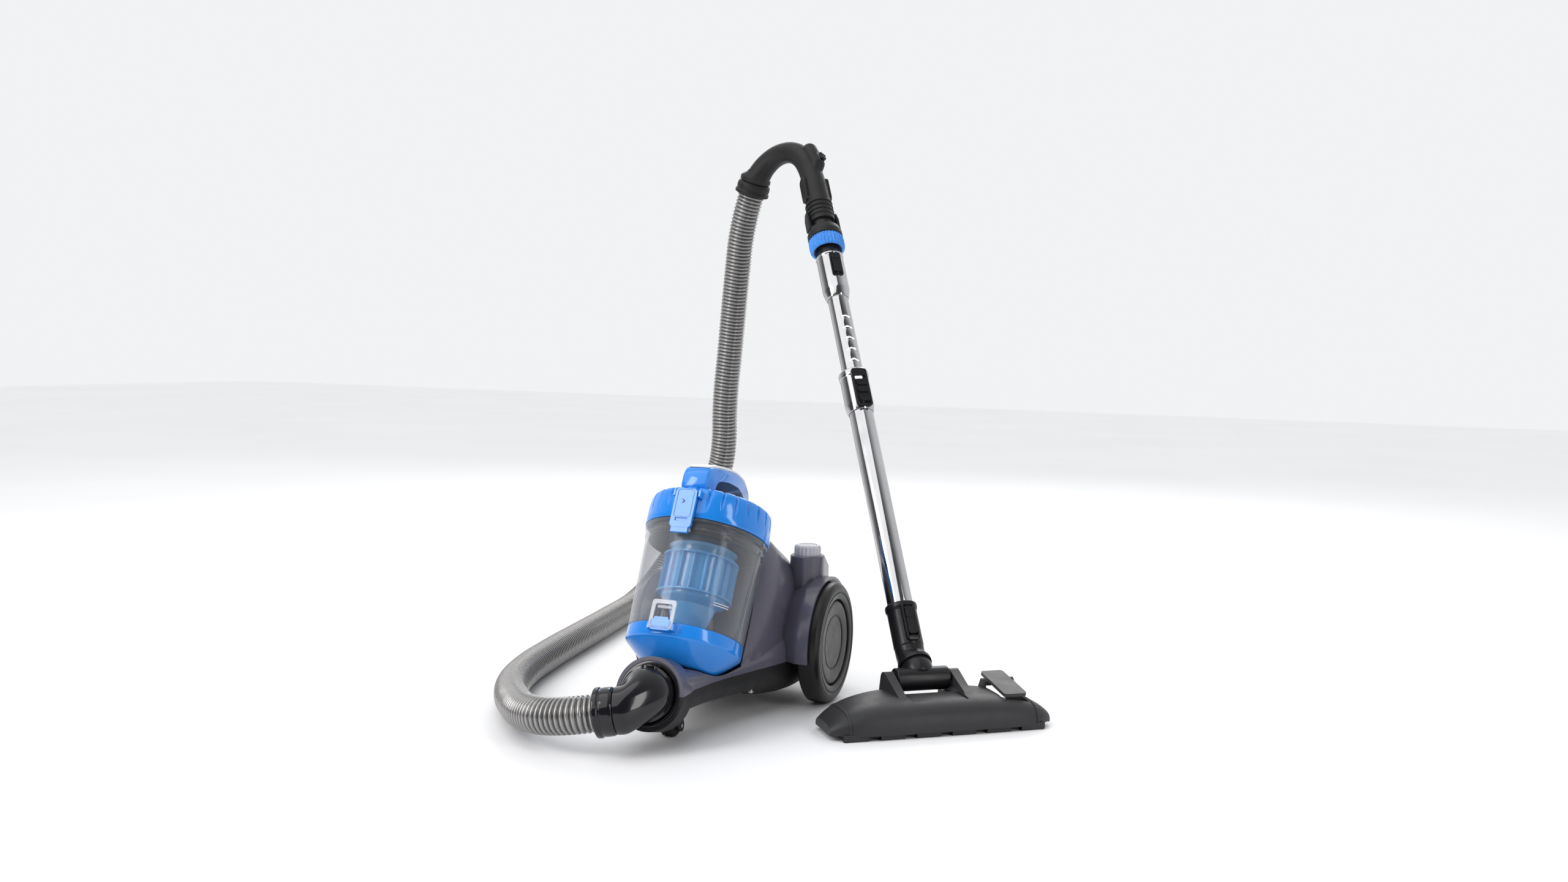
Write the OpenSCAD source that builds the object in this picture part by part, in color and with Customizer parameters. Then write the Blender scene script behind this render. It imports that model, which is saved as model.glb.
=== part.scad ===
// Canister vacuum cleaner with a lift-out dust cup, a corrugated hose,
// a telescopic wand and a floor head. Millimetres, +Z up, the canister's nose towards -Y.

/* [Canister] */
// Outer radius of the rear wheels
wheel_r = 80; // [70:1:86]
// Width of a rear wheel
wheel_w = 30; // [24:1:34]
// Distance between the wheels' mid-planes
wheel_track = 234; // [230:1:244]
// Wall of the moulded housings
wall = 2.6; // [2.2:0.1:3.2]
// Radius of the hose inlet collar
collar_r = 38.5; // [36:0.5:40]

/* [Dust cup] */
// Backward lean of the dust cup
cup_tilt = 27; // [24:1:28]
// Outer radius of the cup at its bottom door
cup_r = 72; // [68:1:73]
// Height of the clear cup from the door to the lid
cup_h = 130; // [124:1:132]
// Outer radius of the lid
lid_r = 79; // [78:0.5:80]
// Height of the lid's rim
lid_h = 41; // [38:1:44]
// Number of grip flutes round the lid
flutes = 28; // [18:1:32]

/* [Wand] */
// Backward lean of the wand from upright
wand_lean = 33.8; // [25:0.1:40]
// Outside diameter of the lower tube
lower_tube_d = 35; // [34:0.5:36]
// Outside diameter of the upper tube
upper_tube_d = 31; // [30:0.5:31]
// Wall of the steel tubes
tube_wall = 1.2; // [0.8:0.1:1.4]

/* [Hose] */
// Outside diameter of the corrugated hose
hose_d = 44; // [42:1:46]
// Wall of the hose
hose_wall = 1.8; // [1:0.1:3]

/* [Floor head] */
// Length of the floor head across its path
head_l = 295; // [280:1:300]
// Height of the head's shell at its middle
head_h = 42; // [38:1:46]

/* [Hidden] */
$fn = 64;

// Middle of the whole object's footprint, measured from the caster's contact point
mid_x = 105.4;
mid_y = 265.8;

// Rear axle
axle_y = 236;
axle_z = wheel_r;
axle_r = 5;
run_gap = 0.05;
wheel_in = wheel_track / 2 - wheel_w / 2;
wheel_out = wheel_track / 2 + wheel_w / 2;
seam_z = 66;
hull_fn = 32;

// Dust cup frame
cup_y = 39.5;
cup_z = 112;
cup_top_r = 75;
flange_r = lid_r - 1;
pocket_gap = 4;

// Inlet
inlet_y = -60.6;
inlet_z = 65.3;
inlet_tilt = 15;

// Wand frame: origin at the head's tilt pin, +Z of the wand frame runs up the wand
wand_turn = 38;
pivot_x = 255;
pivot_y = 207;
pivot_z = 51;
wand_back = 20.5;

// Stations up the wand, from the foot of the wand axis
neck_from = 24;
neck_to = 96;
tube_from = 62;
ltube_to = 392;
collar_to = 459;
utube_from = 210;
socket_from = 590;
socket_to = 668;
handle_from = 655;
brush_from = 681;
brush_to = 711;
sleeve_to = 735;
arc_from = 800;
handle_twist = 125;

// Colours
slate = [0.33, 0.33, 0.38];
black = [0.06, 0.06, 0.065];
blue = [0.07, 0.42, 0.86];
clear = [0.72, 0.74, 0.78, 0.45];
steel = [0.78, 0.79, 0.8];
pale = [0.78, 0.78, 0.8];
white = [0.93, 0.93, 0.92];

// Frames ------------------------------------------------------------------
module at_model() { translate([-mid_x, -mid_y, 0]) children(); }

module in_cup() { at_model() translate([0, cup_y, cup_z]) rotate([-cup_tilt, 0, 0]) children(); }

// +Z runs out of the inlet's mouth
module in_collar() { translate([0, inlet_y, inlet_z]) rotate([90 - inlet_tilt, 0, 0]) children(); }
module in_inlet() { at_model() in_collar() children(); }

module in_head() { at_model() translate([pivot_x, pivot_y, 0]) rotate([0, 0, wand_turn]) children(); }

module in_wand() {
    in_head() translate([0, wand_back, pivot_z]) rotate([-wand_lean, 0, 0]) children();
}

module tube(r, r_in, h, z = 0) {
    translate([0, 0, z]) difference() {
        cylinder(r = r, h = h);
        translate([0, 0, -1]) cylinder(r = r_in, h = h + 2);
    }
}

// Smooth curves through chosen stations ------------------------------------
function station(keys, x, i = 0) = (i >= len(keys) - 2 || x < keys[i + 1][0]) ? i : station(keys, x, i + 1);
function rise(keys, i) =
    let (a = max(i - 1, 0), b = min(i + 1, len(keys) - 1))
    (keys[b][1] - keys[a][1]) / (keys[b][0] - keys[a][0]);
function curve(keys, x) =
    let (i = station(keys, x), h = keys[i + 1][0] - keys[i][0], t = (x - keys[i][0]) / h)
    keys[i][1] * (1 + 2 * t) * (1 - t) * (1 - t) + rise(keys, i) * h * t * (1 - t) * (1 - t)
    + keys[i + 1][1] * t * t * (3 - 2 * t) + rise(keys, i + 1) * h * t * t * (t - 1);

function power(v, n) = sign(v) * pow(abs(v), n);

// A skin through equal rings of points, closed by flat ends
module loft(rings) {
    n = len(rings[0]);
    m = len(rings);
    sides = [for (i = [0:m - 2]) for (j = [0:n - 1]) for (k = [0, 1])
        k == 0 ? [i * n + j, (i + 1) * n + j, (i + 1) * n + (j + 1) % n]
               : [i * n + j, (i + 1) * n + (j + 1) % n, i * n + (j + 1) % n]];
    polyhedron(
        points = [for (r = rings) each r],
        faces = concat(sides, [[for (j = [0:n - 1]) j]], [[for (j = [n - 1:-1:0]) (m - 1) * n + j]]),
        convexity = 8
    );
}

// Ring at station y: half width w, from z0 to the top or bottom z1, corner power p, wall inset t.
// Its foot runs 2 past z0, where the housings are cut flat.
function arch_ring(y, w, z0, z1, p, t = 0, n = 20) =
    let (up = sign(z1 - z0))
    concat(
        [[t - w, y, z0 - up * 2]],
        [for (i = [n:-1:0]) let (a = 180 * i / n)
            [(w - t) * power(cos(a), 2 / p), y, z0 + (z1 - up * t - z0) * power(sin(a), 2 / p)]],
        [[w - t, y, z0 - up * 2]]
    );

function spread(a, b, n) = [for (i = [0:n]) a + (b - a) * i / n];

// Side outlines of the canister, as [station along Y, size]
width_keys = [[-50, 40], [-20, 42], [30, 50], [90, 68], [150, 87], [200, 97], [260, 98], [305, 90], [332, 66]];
belly_keys = [[-50, 36], [0, 36], [60, 33], [120, 28], [165, 16], [230, 12], [290, 16], [332, 40]];
deck_keys = [[-50, 92], [-10, 88], [40, 84], [110, 92], [180, 108], [250, 112], [332, 84]];
tower_w_keys = [[66, 58], [110, 72], [160, 81], [220, 83], [275, 76], [318, 52]];
tower_z_keys = [[66, 112], [110, 164], [150, 213], [182, 231], [210, 219], [255, 196], [295, 172], [318, 140]];

// Fewer rings make the plain inside faces
function ring_count(t) = t > 0 ? 10 : 20;

module belly(t = 0) {
    n = ring_count(t);
    loft([for (y = spread(-50 + t, 332 - t, n))
        [for (q = arch_ring(y, curve(width_keys, y), seam_z, curve(belly_keys, y), 3.2, t, n))
            [-q[0], q[1], q[2]]]]);
}

module deck(t = 0) {
    n = ring_count(t);
    loft([for (y = spread(-50 + t, 332 - t, n))
        arch_ring(y, curve(width_keys, y), seam_z, curve(deck_keys, y), 3.6, t, n)]);
}

module tower(t = 0) {
    n = ring_count(t);
    loft([for (y = spread(66 + t, 318 - t, n))
        arch_ring(y, curve(tower_w_keys, y), seam_z, curve(tower_z_keys, y), 3.0, t, n)]);
}

// Room that the dust cup slides out of, grown by t
module cup_pocket(t = 0) {
    translate([0, cup_y, cup_z]) rotate([-cup_tilt, 0, 0]) {
        translate([0, 0, -46 - t]) cylinder(r1 = 44 + t, r2 = cup_r + pocket_gap + t, h = 28);
        translate([0, 0, -18 - t]) cylinder(r1 = cup_r + pocket_gap + t, r2 = flange_r + 2 + t, h = 142);
        translate([0, 0, 122 - t]) cylinder(r = lid_r + 4.5 + t, h = 200);
        translate([-17 - t, 40, 108 - t]) cube([34 + 2 * t, 50.5 + t, 200]);
    }
}

// Canister housings --------------------------------------------------------
module wheel_well(t = 0) {
    for (s = [-1, 1]) translate([s * (wheel_in - 1.5 - t), axle_y, axle_z])
        rotate([0, s * 90, 0]) cylinder(r = wheel_r + 3 + t, h = 60);
}

module fender(t = 0) {
    for (s = [-1, 1]) translate([0, axle_y, axle_z]) rotate([0, s * 90, 0]) {
        translate([0, 0, 62 + t]) cylinder(r1 = 58 - t, r2 = wheel_r + 6.5 - t, h = 38);
        translate([0, 0, 100 + t]) cylinder(r = wheel_r + 6.5 - t, h = 20 - 2 * t);
    }
}

module knob_seat(s) { translate([s * 86, 240, 0]) children(); }

module upper_housing() {
    color(slate) at_model() difference() {
        union() {
            deck();
            tower();
            intersection() {
                fender();
                translate([-200, 120, seam_z]) cube([400, 170, 200]);
            }
            for (s = [-1, 1]) knob_seat(s) hull() {
                translate([0, 0, 150]) cylinder(r = 23, h = 44, $fn = hull_fn);
                translate([0, 28, 140]) cylinder(r = 20, h = 36, $fn = hull_fn);
            }
            intersection() {
                in_collar() translate([0, 0, -26]) cylinder(r = collar_r + 5, h = 26);
                translate([-60, -120, seam_z]) cube([120, 120, 80]);
            }
        }
        difference() {
            union() {
                deck(wall);
                tower(wall);
            }
            cup_pocket(wall);
        }
        cup_pocket();
        wheel_well();
        in_collar() translate([0, 0, -28.2]) cylinder(r = collar_r + 0.1, h = 60);
        for (s = [-1, 1]) knob_seat(s) translate([0, 0, 120]) cylinder(r = 18.5, h = 80);
        // Room for the axle bosses
        for (s = [-1, 1]) translate([s * 60, axle_y, axle_z]) rotate([0, s * 90, 0]) {
            cylinder(r = 12.3, h = 42);
            translate([s > 0 ? 0 : -20, -12.3, 0]) cube([20, 24.6, 42]);
        }
        // Port between the duct and the dust cup
        translate([0, cup_y, cup_z]) rotate([-cup_tilt, 0, 0])
            translate([0, 60, 84]) rotate([-90, 0, 0]) cylinder(r = 12.5, h = 28);
        // Exhaust window at the back
        translate([-52, 290, 78]) cube([104, 60, 62]);
        // Cord outlet
        translate([-74, 336, 84]) rotate([90, 0, 0]) cylinder(r = 9.1, h = 60);
        translate([-74, 329, 84]) rotate([90, 0, 0]) cylinder(r = 11.8, h = 4.4);
        translate([-200, -200, -200 + seam_z]) cube([400, 700, 200]);
    }
}

module lower_housing() {
    color(black) at_model() difference() {
        union() {
            difference() {
                union() {
                    belly();
                    in_collar() translate([0, 0, -26]) cylinder(r = collar_r + 5, h = 26);
                }
                belly(wall);
                translate([-200, -200, seam_z]) cube([400, 700, 200]);
            }
            // Caster seat
            translate([0, caster_y, 34]) cylinder(r = 16, h = 13);
            // Axle bosses and their webs
            for (s = [-1, 1]) {
                translate([s * 70, axle_y, axle_z]) rotate([0, s * 90, 0]) cylinder(r = 12, h = 29);
                translate([s * 74 - 8, axle_y - 3, 26]) cube([16, 6, 50]);
            }
            // Spindle of the cord drum
            translate([0, drum_y, 16.4]) cylinder(r = 12, h = 14.2);
            translate([0, drum_y, 16.4]) cylinder(r = 7, h = 37.6);
            // Post and pivot of the reel brake
            translate([-54, 208, 16.6]) cube([3, 8, 39]);
            translate([-63, 212, 50]) rotate([0, 90, 0]) cylinder(r = 1.95, h = 11);
        }
        in_collar() translate([0, 0, -28.2]) cylinder(r = collar_r + 0.1, h = 60);
        wheel_well();
        for (s = [-1, 1]) translate([s * 60, axle_y, axle_z]) rotate([0, s * 90, 0]) cylinder(r = axle_r, h = 50);
        translate([0, caster_y, 30]) cylinder(r = 6, h = 14);
        for (p = screw_places) translate([p[0], p[1], -1]) cylinder(r = 3.4, h = 60);
    }
}

screw_places = [[-60, 110], [60, 110], [-60, 300], [60, 300]];

module housing_screws() {
    color(steel) at_model() for (p = screw_places) translate([p[0], p[1], 0]) {
        translate([0, 0, 34]) cylinder(r = 3.2, h = 2.4);
        translate([0, 0, 36]) cylinder(r = 1.9, h = 16);
    }
}

module inlet_collar() {
    color(black) in_inlet() difference() {
        translate([0, 0, -28]) cylinder(r = collar_r, h = 29);
        translate([0, 0, -24]) cylinder(r = 34, h = 40);
        translate([0, 0, -30]) cylinder(r = 15, h = 40);
    }
}

// Flat duct below the cup and up behind it, as [back, up] points in a side view
duct_floor = [[-34.6, 49.4], [8, 49.4], [26, 39.6], [62, 38.8], [96, 45], [128, 76], [172.3, 162.5]];
duct_roof = [[159.2, 162.5], [116, 78], [102.5, 57], [88, 53], [60, 46.4], [30, 52], [0, 62], [-30.4, 66.4]];

module inlet_duct() {
    color(black) at_model() difference() {
        translate([20, 0, 0]) rotate([0, -90, 0]) linear_extrude(40)
            polygon([for (q = concat(duct_floor, duct_roof)) [q[1], q[0]]]);
        translate([18, 0, 0]) rotate([0, -90, 0]) linear_extrude(36) offset(delta = -1.8)
            polygon([for (q = concat(duct_floor, duct_roof)) [q[1], q[0]]]);
        in_collar() translate([0, 0, -40]) cylinder(r = 7, h = 30);
        // Port into the dust cup
        translate([0, cup_y, cup_z]) rotate([-cup_tilt, 0, 0])
            translate([0, 60, 84]) rotate([-90, 0, 0]) cylinder(r = 10, h = 28);
    }
}

// Motor unit, on an axis across the canister ------------------------------
motor_y = 236;
motor_z = 112;
drum_y = 180;

module in_motor() { at_model() translate([0, motor_y, motor_z]) rotate([0, 90, 0]) children(); }

module motor_bucket() {
    color(pale) in_motor() difference() {
        translate([0, 0, -48]) cylinder(r = 58, h = 96);
        translate([0, 0, -45]) cylinder(r = 55.4, h = 100);
        translate([0, 0, -60]) cylinder(r = 22, h = 60);
    }
}

module motor_stator() {
    color(steel) in_motor() {
        tube(38, 30, 44, -8);
        tube(41, 38, 6, -8);
        translate([0, 0, 36]) difference() {
            cylinder(r = 38, h = 4);
            translate([0, 0, -1]) cylinder(r = 4.05, h = 6);
        }
        for (a = [0:120:240]) rotate([0, 0, a]) translate([37, -5, 26]) cube([17.6, 10, 8]);
    }
}

module motor_rotor() {
    color([0.72, 0.42, 0.2]) in_motor() {
        translate([0, 0, -34]) cylinder(r = 4, h = 78);
        translate([0, 0, -4]) cylinder(r = 27, h = 32);
        translate([0, 0, 28]) cylinder(r = 11, h = 6);
    }
}

module impeller() {
    color(steel) in_motor() difference() {
        union() {
            translate([0, 0, -18]) cylinder(r = 44, h = 1.5);
            translate([0, 0, -30]) cylinder(r = 44, h = 1.5);
            for (a = [0:45:315]) rotate([0, 0, a]) translate([12, -1, -29]) cube([31, 2, 12]);
            translate([0, 0, -32]) cylinder(r = 9, h = 16);
        }
        translate([0, 0, -40]) cylinder(r = 4, h = 40);
        translate([0, 0, -40]) cylinder(r = 8, h = 8.5);
    }
}

// Exhaust filter -----------------------------------------------------------
module in_exhaust() { at_model() translate([0, 308, 109]) children(); }

module exhaust_frame() {
    color(black) in_exhaust() {
        difference() {
            translate([-48, -12, -28]) cube([96, 20, 56]);
            translate([-42, -20, -22]) cube([84, 40, 44]);
        }
        // Hinge lugs of the cover
        for (s = [-1, 1]) {
            translate([s * 44 - 2, 4, -32.7]) cube([4, 9.4, 2.9]);
            translate([s * 44 - 2, 4, -32.7]) cube([4, 3.5, 5]);
            translate([s * 40.5 - 5, 12, -30.5]) rotate([0, 90, 0]) cylinder(r = 1.15, h = 10);
        }
    }
}

module exhaust_pleats() {
    n = 20;
    depth = 15;
    pitch = 83.6 / n;
    color(white) in_exhaust() translate([-41.8, -10, -21.9]) linear_extrude(43.8)
        polygon(concat(
            [for (i = [0:2 * n]) [i * pitch / 2, (i % 2) * depth]],
            [for (i = [2 * n:-1:0]) [i * pitch / 2, (i % 2) * depth + 1.6]]
        ));
}

module exhaust_cover() {
    color(slate) at_model() difference() {
        union() {
            translate([-50.5, 318, 79.5]) cube([101, 5, 59]);
            translate([0, 320, 78.5]) rotate([0, 90, 0]) translate([0, 0, -40]) cylinder(r = 3, h = 80);
        }
        for (i = [0:6]) translate([-42, 310, 88 + i * 6.6]) cube([84, 20, 3]);
        for (s = [-1, 1]) translate([s * 44 - 2.6, 310, 70]) cube([5.2, 20, 13]);
        translate([0, 320, 78.5]) rotate([0, 90, 0]) translate([0, 0, -60]) cylinder(r = 1.2, h = 120);
    }
}

// Cord reel ----------------------------------------------------------------
module cord_outlet() {
    color(black) at_model() translate([-74, 322, 84]) rotate([90, 0, 0]) difference() {
        union() {
            translate([0, 0, -6]) cylinder(r = 11.5, h = 3);
            translate([0, 0, -4]) cylinder(r = 9, h = 22);
        }
        translate([0, 0, -10]) cylinder(r = 5, h = 40);
    }
}

module cord_drum() {
    color(black) at_model() translate([0, drum_y, 31]) difference() {
        union() {
            cylinder(r = 48, h = 2.5);
            cylinder(r = 26, h = 22);
            translate([0, 0, 19.5]) cylinder(r = 48, h = 2.5);
        }
        translate([0, 0, -1]) cylinder(r = 7 + run_gap, h = 40);
    }
}

module brake_lever() {
    color(pale) at_model() difference() {
        union() {
            translate([-62, 212, 50]) rotate([0, 90, 0]) cylinder(r = 5, h = 8);
            translate([-61, 172, 48]) cube([6, 40, 5]);
            translate([-60, 172, 34]) cube([5, 6, 16]);
        }
        translate([-70, 212, 50]) rotate([0, 90, 0]) cylinder(r = 2, h = 20);
    }
}

// Controls -----------------------------------------------------------------
module button_cap() {
    difference() {
        union() {
            cylinder(r = 18, h = 20);
            translate([0, 0, 20]) cylinder(r1 = 18, r2 = 15.5, h = 3);
            for (a = [0:20:340]) rotate([0, 0, a]) translate([16.2, -1.4, 8]) cube([1.7, 2.8, 13]);
            translate([0, 0, -12]) cylinder(r = 3, h = 14);
        }
        for (a = [0:20:340]) rotate([0, 0, a + 10]) translate([17.4, -1.2, 12]) cube([3, 2.4, 30]);
        translate([0, 0, 22]) cylinder(r = 12.5, h = 3);
    }
}

module power_button() { color(pale) at_model() knob_seat(1) translate([0, 0, 185]) button_cap(); }
module rewind_button() { color(pale) at_model() knob_seat(-1) translate([0, 0, 185]) button_cap(); }

module power_switch() {
    color(black) at_model() knob_seat(1) translate([0, 0, 144]) {
        translate([-9, -9, 0]) cube([18, 18, 20]);
        translate([-4, -4, 20]) cube([8, 8, 2]);
    }
}

// Running gear -------------------------------------------------------------
module wheel_axles() {
    color(steel) at_model() for (s = [-1, 1]) translate([0, axle_y, axle_z]) rotate([0, s * 90, 0]) {
        translate([0, 0, 74]) cylinder(r = axle_r, h = wheel_out - 11.8 - 74);
        translate([0, 0, wheel_out - 11.8]) cylinder(r = 8, h = 2);
    }
}

module in_wheel(s) { at_model() translate([0, axle_y, axle_z]) rotate([0, s * 90, 0]) children(); }

module wheel(s) {
    color(black) in_wheel(s) difference() {
        union() {
            translate([0, 0, wheel_in]) rotate_extrude() polygon([
                [axle_r + run_gap, 3], [14, 0], [14, 12], [52, 12], [58, 2], [wheel_r - 4, 0], [wheel_r, 4],
                [wheel_r, wheel_w - 7], [wheel_r - 3, wheel_w - 2], [wheel_r - 9, wheel_w],
                [wheel_r - 22, wheel_w - 2], [wheel_r - 24, wheel_w - 10], [14, wheel_w - 10], [14, wheel_w - 12], [axle_r + run_gap, wheel_w - 12]
            ]);
        }
        // Rim grooves
        translate([0, 0, wheel_out - 1.2]) tube(wheel_r - 12, wheel_r - 13.4, 3);
    }
}

module hubcap(s) {
    color(black) in_wheel(s) difference() {
        translate([0, 0, wheel_out - 7]) rotate_extrude() polygon([
            [0, 0.8], [14, 1.4], [14, -3], [wheel_r - 26, -3], [wheel_r - 24.2, 2], [wheel_r - 24.2, 4],
            [wheel_r - 30, 5.4], [wheel_r - 38, 4.2], [wheel_r - 40, 3.2], [0, 3.2]
        ]);
        translate([0, 0, wheel_out - 13]) cylinder(r = 9, h = 7.4);
    }
}

module left_wheel() { wheel(-1); }
module right_wheel() { wheel(1); }
module left_hubcap() { hubcap(-1); }
module right_hubcap() { hubcap(1); }

caster_r = 14;
caster_y = -12;

module caster_fork() {
    color(black) at_model() difference() {
        union() {
            translate([0, caster_y, 28.6]) cylinder(r = 15, h = 3.6);
            translate([0, caster_y, 30]) cylinder(r = 5.95, h = 13);
            for (s = [-1, 1]) hull() {
                translate([s * 13 - 2, caster_y - 8, 28]) cube([4, 20, 3]);
                translate([s * 13 - 2, 0, caster_r]) rotate([0, 90, 0]) cylinder(r = 7, h = 4, $fn = hull_fn);
            }
        }
        translate([-20, 0, caster_r]) rotate([0, 90, 0]) cylinder(r = 2.5, h = 40);
    }
}

module caster_axle() {
    color(steel) at_model() translate([-15.5, 0, caster_r]) rotate([0, 90, 0]) cylinder(r = 2.5, h = 31);
}

module caster_wheel() {
    color(black) at_model() translate([-9.5, 0, caster_r]) rotate([0, 90, 0]) difference() {
        rotate_extrude() polygon([
            [2.55, 0], [caster_r - 3, 0], [caster_r, 3], [caster_r, 16], [caster_r - 3, 19], [2.55, 19]
        ]);
        translate([0, 0, 8.5]) tube(caster_r + 1, caster_r - 1.2, 2);
    }
}

// Dust cup -----------------------------------------------------------------
module cup_body() {
    color(clear) in_cup() difference() {
        union() {
            rotate_extrude() polygon([
                [cup_r - 2.4, 0.3], [cup_r, 0.3], [cup_top_r, 112], [cup_top_r, 117], [flange_r - 1.2, 121],
                [flange_r, 123], [flange_r, 129.6], [cup_top_r - 6, 129.6], [cup_top_r - 3, 118], [cup_top_r - 3, 110]
            ]);
            // Hinge post of the lid
            for (s = [-1, 1]) translate([s * 9 - 4, flange_r - 2, 118]) cube([8, 9.5, lid_h + 11]);
            // Keeper of the lid latch
            translate([-10.5, -80.5, 112]) cube([21, 8, 4]);
            // Keeper bar of the door latch
            translate([-9.5, -cup_r - 5.3, 14]) cube([19, 5.8, 4]);
            // Hinge knuckles of the door
            for (s = [-1, 1]) translate([s * 14 - 4, cup_r - 2, -5]) cube([8, 4, 12]);
        }
        // Inlet port at the back
        translate([0, 60, 84]) rotate([-90, 0, 0]) cylinder(r = 12, h = 30);
        for (s = [-1, 1]) translate([s * 9 - 6, flange_r + 3, cup_h + lid_h - 4.5])
            rotate([0, 90, 0]) cylinder(r = 1.55, h = 12);
        translate([-24, cup_r, -2]) rotate([0, 90, 0]) cylinder(r = 1.55, h = 48);
    }
}

module cyclone_shroud() {
    color(blue) in_cup() {
        difference() {
            union() {
                rotate_extrude() polygon([
                    [17, 3], [19, 3], [30, 40], [40, 44], [40, 46], [42, 46], [42, 112], [39.5, 112], [39.5, 50], [28, 46]
                ]);
                for (a = [0:15:345]) rotate([0, 0, a]) translate([40.5, -1, 50]) cube([4.5, 2, 46]);
            }
            for (a = [7.5:15:352.5]) rotate([0, 0, a]) translate([38, -3, 54]) cube([8, 6, 38]);
        }
        difference() {
            translate([0, 0, 112]) cylinder(r = cup_top_r - 4, h = 3);
            translate([0, 0, 111]) cylinder(r = 38, h = 5);
        }
    }
}

module filter_frame() {
    color(black) in_cup() {
        difference() {
            translate([0, 0, 115.2]) cylinder(r = 68, h = 13);
            translate([0, 0, 114]) cylinder(r = 62, h = 20);
        }
        for (a = [0:60:120]) rotate([0, 0, a]) translate([-63, -1.5, 126]) cube([126, 3, 2]);
        tube(28, 25, 2, 126);
    }
}

module filter_pleats() {
    n = 24;
    pitch = 122 / n;
    color(white) in_cup() intersection() {
        translate([0, 0, 116]) cylinder(r = 61.9, h = 10);
        translate([-61, 62, 117]) rotate([90, 0, 0]) linear_extrude(124)
            polygon(concat(
                [for (i = [0:2 * n]) [i * pitch / 2, (i % 2) * 6.5]],
                [for (i = [2 * n:-1:0]) [i * pitch / 2, (i % 2) * 6.5 + 1.6]]
            ));
    }
}

module lid_seal() { color(black) in_cup() tube(lid_r - 4, lid_r - 8, 1.8, cup_h - 0.2 + 0.1); }

module lid_flute() {
    translate([lid_r + 1.6, 0, lid_h - 24]) rotate([0, -5, 0]) rotate([0, 0, 45])
        linear_extrude(40) square(4.2, center = true);
}

grip_profile = [
    [-72, 166], [-72, 190], [-66, 200], [-46, 208], [-14, 218], [20, 226], [48, 227], [68, 218], [74, 202], [74.5, 166],
    [62, 166], [62, 190], [52, 205], [30, 209], [-4, 203], [-34, 193], [-40, 188], [-41, 166]
];

module cup_lid() {
    color(blue) in_cup() {
        difference() {
            translate([0, 0, cup_h]) rotate_extrude($fn = 96) polygon([
                [lid_r - 2.4, 0.2], [lid_r, 0.2], [lid_r, 22], [lid_r - 2.2, lid_h - 5], [lid_r - 4, lid_h - 1.4], [lid_r - 8, lid_h],
                [0, lid_h], [0, lid_h - 2.6], [lid_r - 9, lid_h - 2.6], [lid_r - 4.6, 22], [lid_r - 3.6, 4]
            ]);
            for (i = [0:flutes - 1]) rotate([0, 0, (i + 0.5) * 360 / flutes]) translate([0, 0, cup_h]) lid_flute();
            // Relief that lets the rim tip over the seal
            translate([-32, 55, cup_h - 1]) cube([64, 40, 3.2]);
            // Hinge slots
            for (s = [-1, 1]) translate([s * 9 - 4.6, lid_r - 5, cup_h - 1]) cube([9.2, 20, lid_h - 10]);
            translate([-13.6, lid_r - 6, cup_h + lid_h - 11]) cube([9.2, 20, 20]);
            translate([4.4, lid_r - 6, cup_h + lid_h - 11]) cube([9.2, 20, 20]);
        }
        translate([17, 0, 0]) rotate([0, -90, 0]) linear_extrude(34)
            offset(r = 3) offset(delta = -3) polygon([for (p = grip_profile) [p[1], p[0]]]);
        // Hinge barrel between the posts
        translate([-4.2, lid_r + 2, cup_h + lid_h - 4.5]) rotate([0, 90, 0]) cylinder(r = 3, h = 8.4);
        translate([-12.5, lid_r + 2, cup_h + lid_h - 4.5]) rotate([0, 90, 0]) cylinder(r = 1.5, h = 25);
        // Latch ears
        for (s = [-1, 1]) difference() {
            translate([s * 16.5 - 2, -lid_r - 5.5, cup_h + lid_h - 17]) cube([4, 8.5, 9]);
            translate([s * 16.5 - 3, -lid_r - 3.5, cup_h + 28.5]) rotate([0, 90, 0]) cylinder(r = 1.55, h = 6);
        }
    }
}

module handle_skin() {
    color(pale) in_cup() translate([14, 0, 0]) rotate([0, -90, 0]) linear_extrude(28)
        polygon([
            [200.4, -66], [208.4, -46], [218.4, -14], [226.4, 20], [227.4, 48],
            [229.4, 48], [228.4, 20], [220.4, -14], [210.4, -46], [202.4, -66]
        ]);
}

module lid_latch() {
    color(blue) in_cup() difference() {
        union() {
            hull() for (z = [119, 158]) for (s = [-1, 1])
                translate([s * 9, -lid_r - 2, z]) rotate([90, 0, 0]) cylinder(r = 5, h = 4.6, $fn = hull_fn);
            translate([-14, -lid_r - 3.5, 158.5]) rotate([0, 90, 0]) cylinder(r = 3, h = 28);
            translate([-18, -lid_r - 3.5, 158.5]) rotate([0, 90, 0]) cylinder(r = 1.5, h = 36);
            translate([-11, -lid_r - 6.6, 107.5]) cube([22, 4.6, 12]);
        }
        translate([-8, -lid_r - 9, 120]) cube([16, 4, 4]);
    }
}

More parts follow.
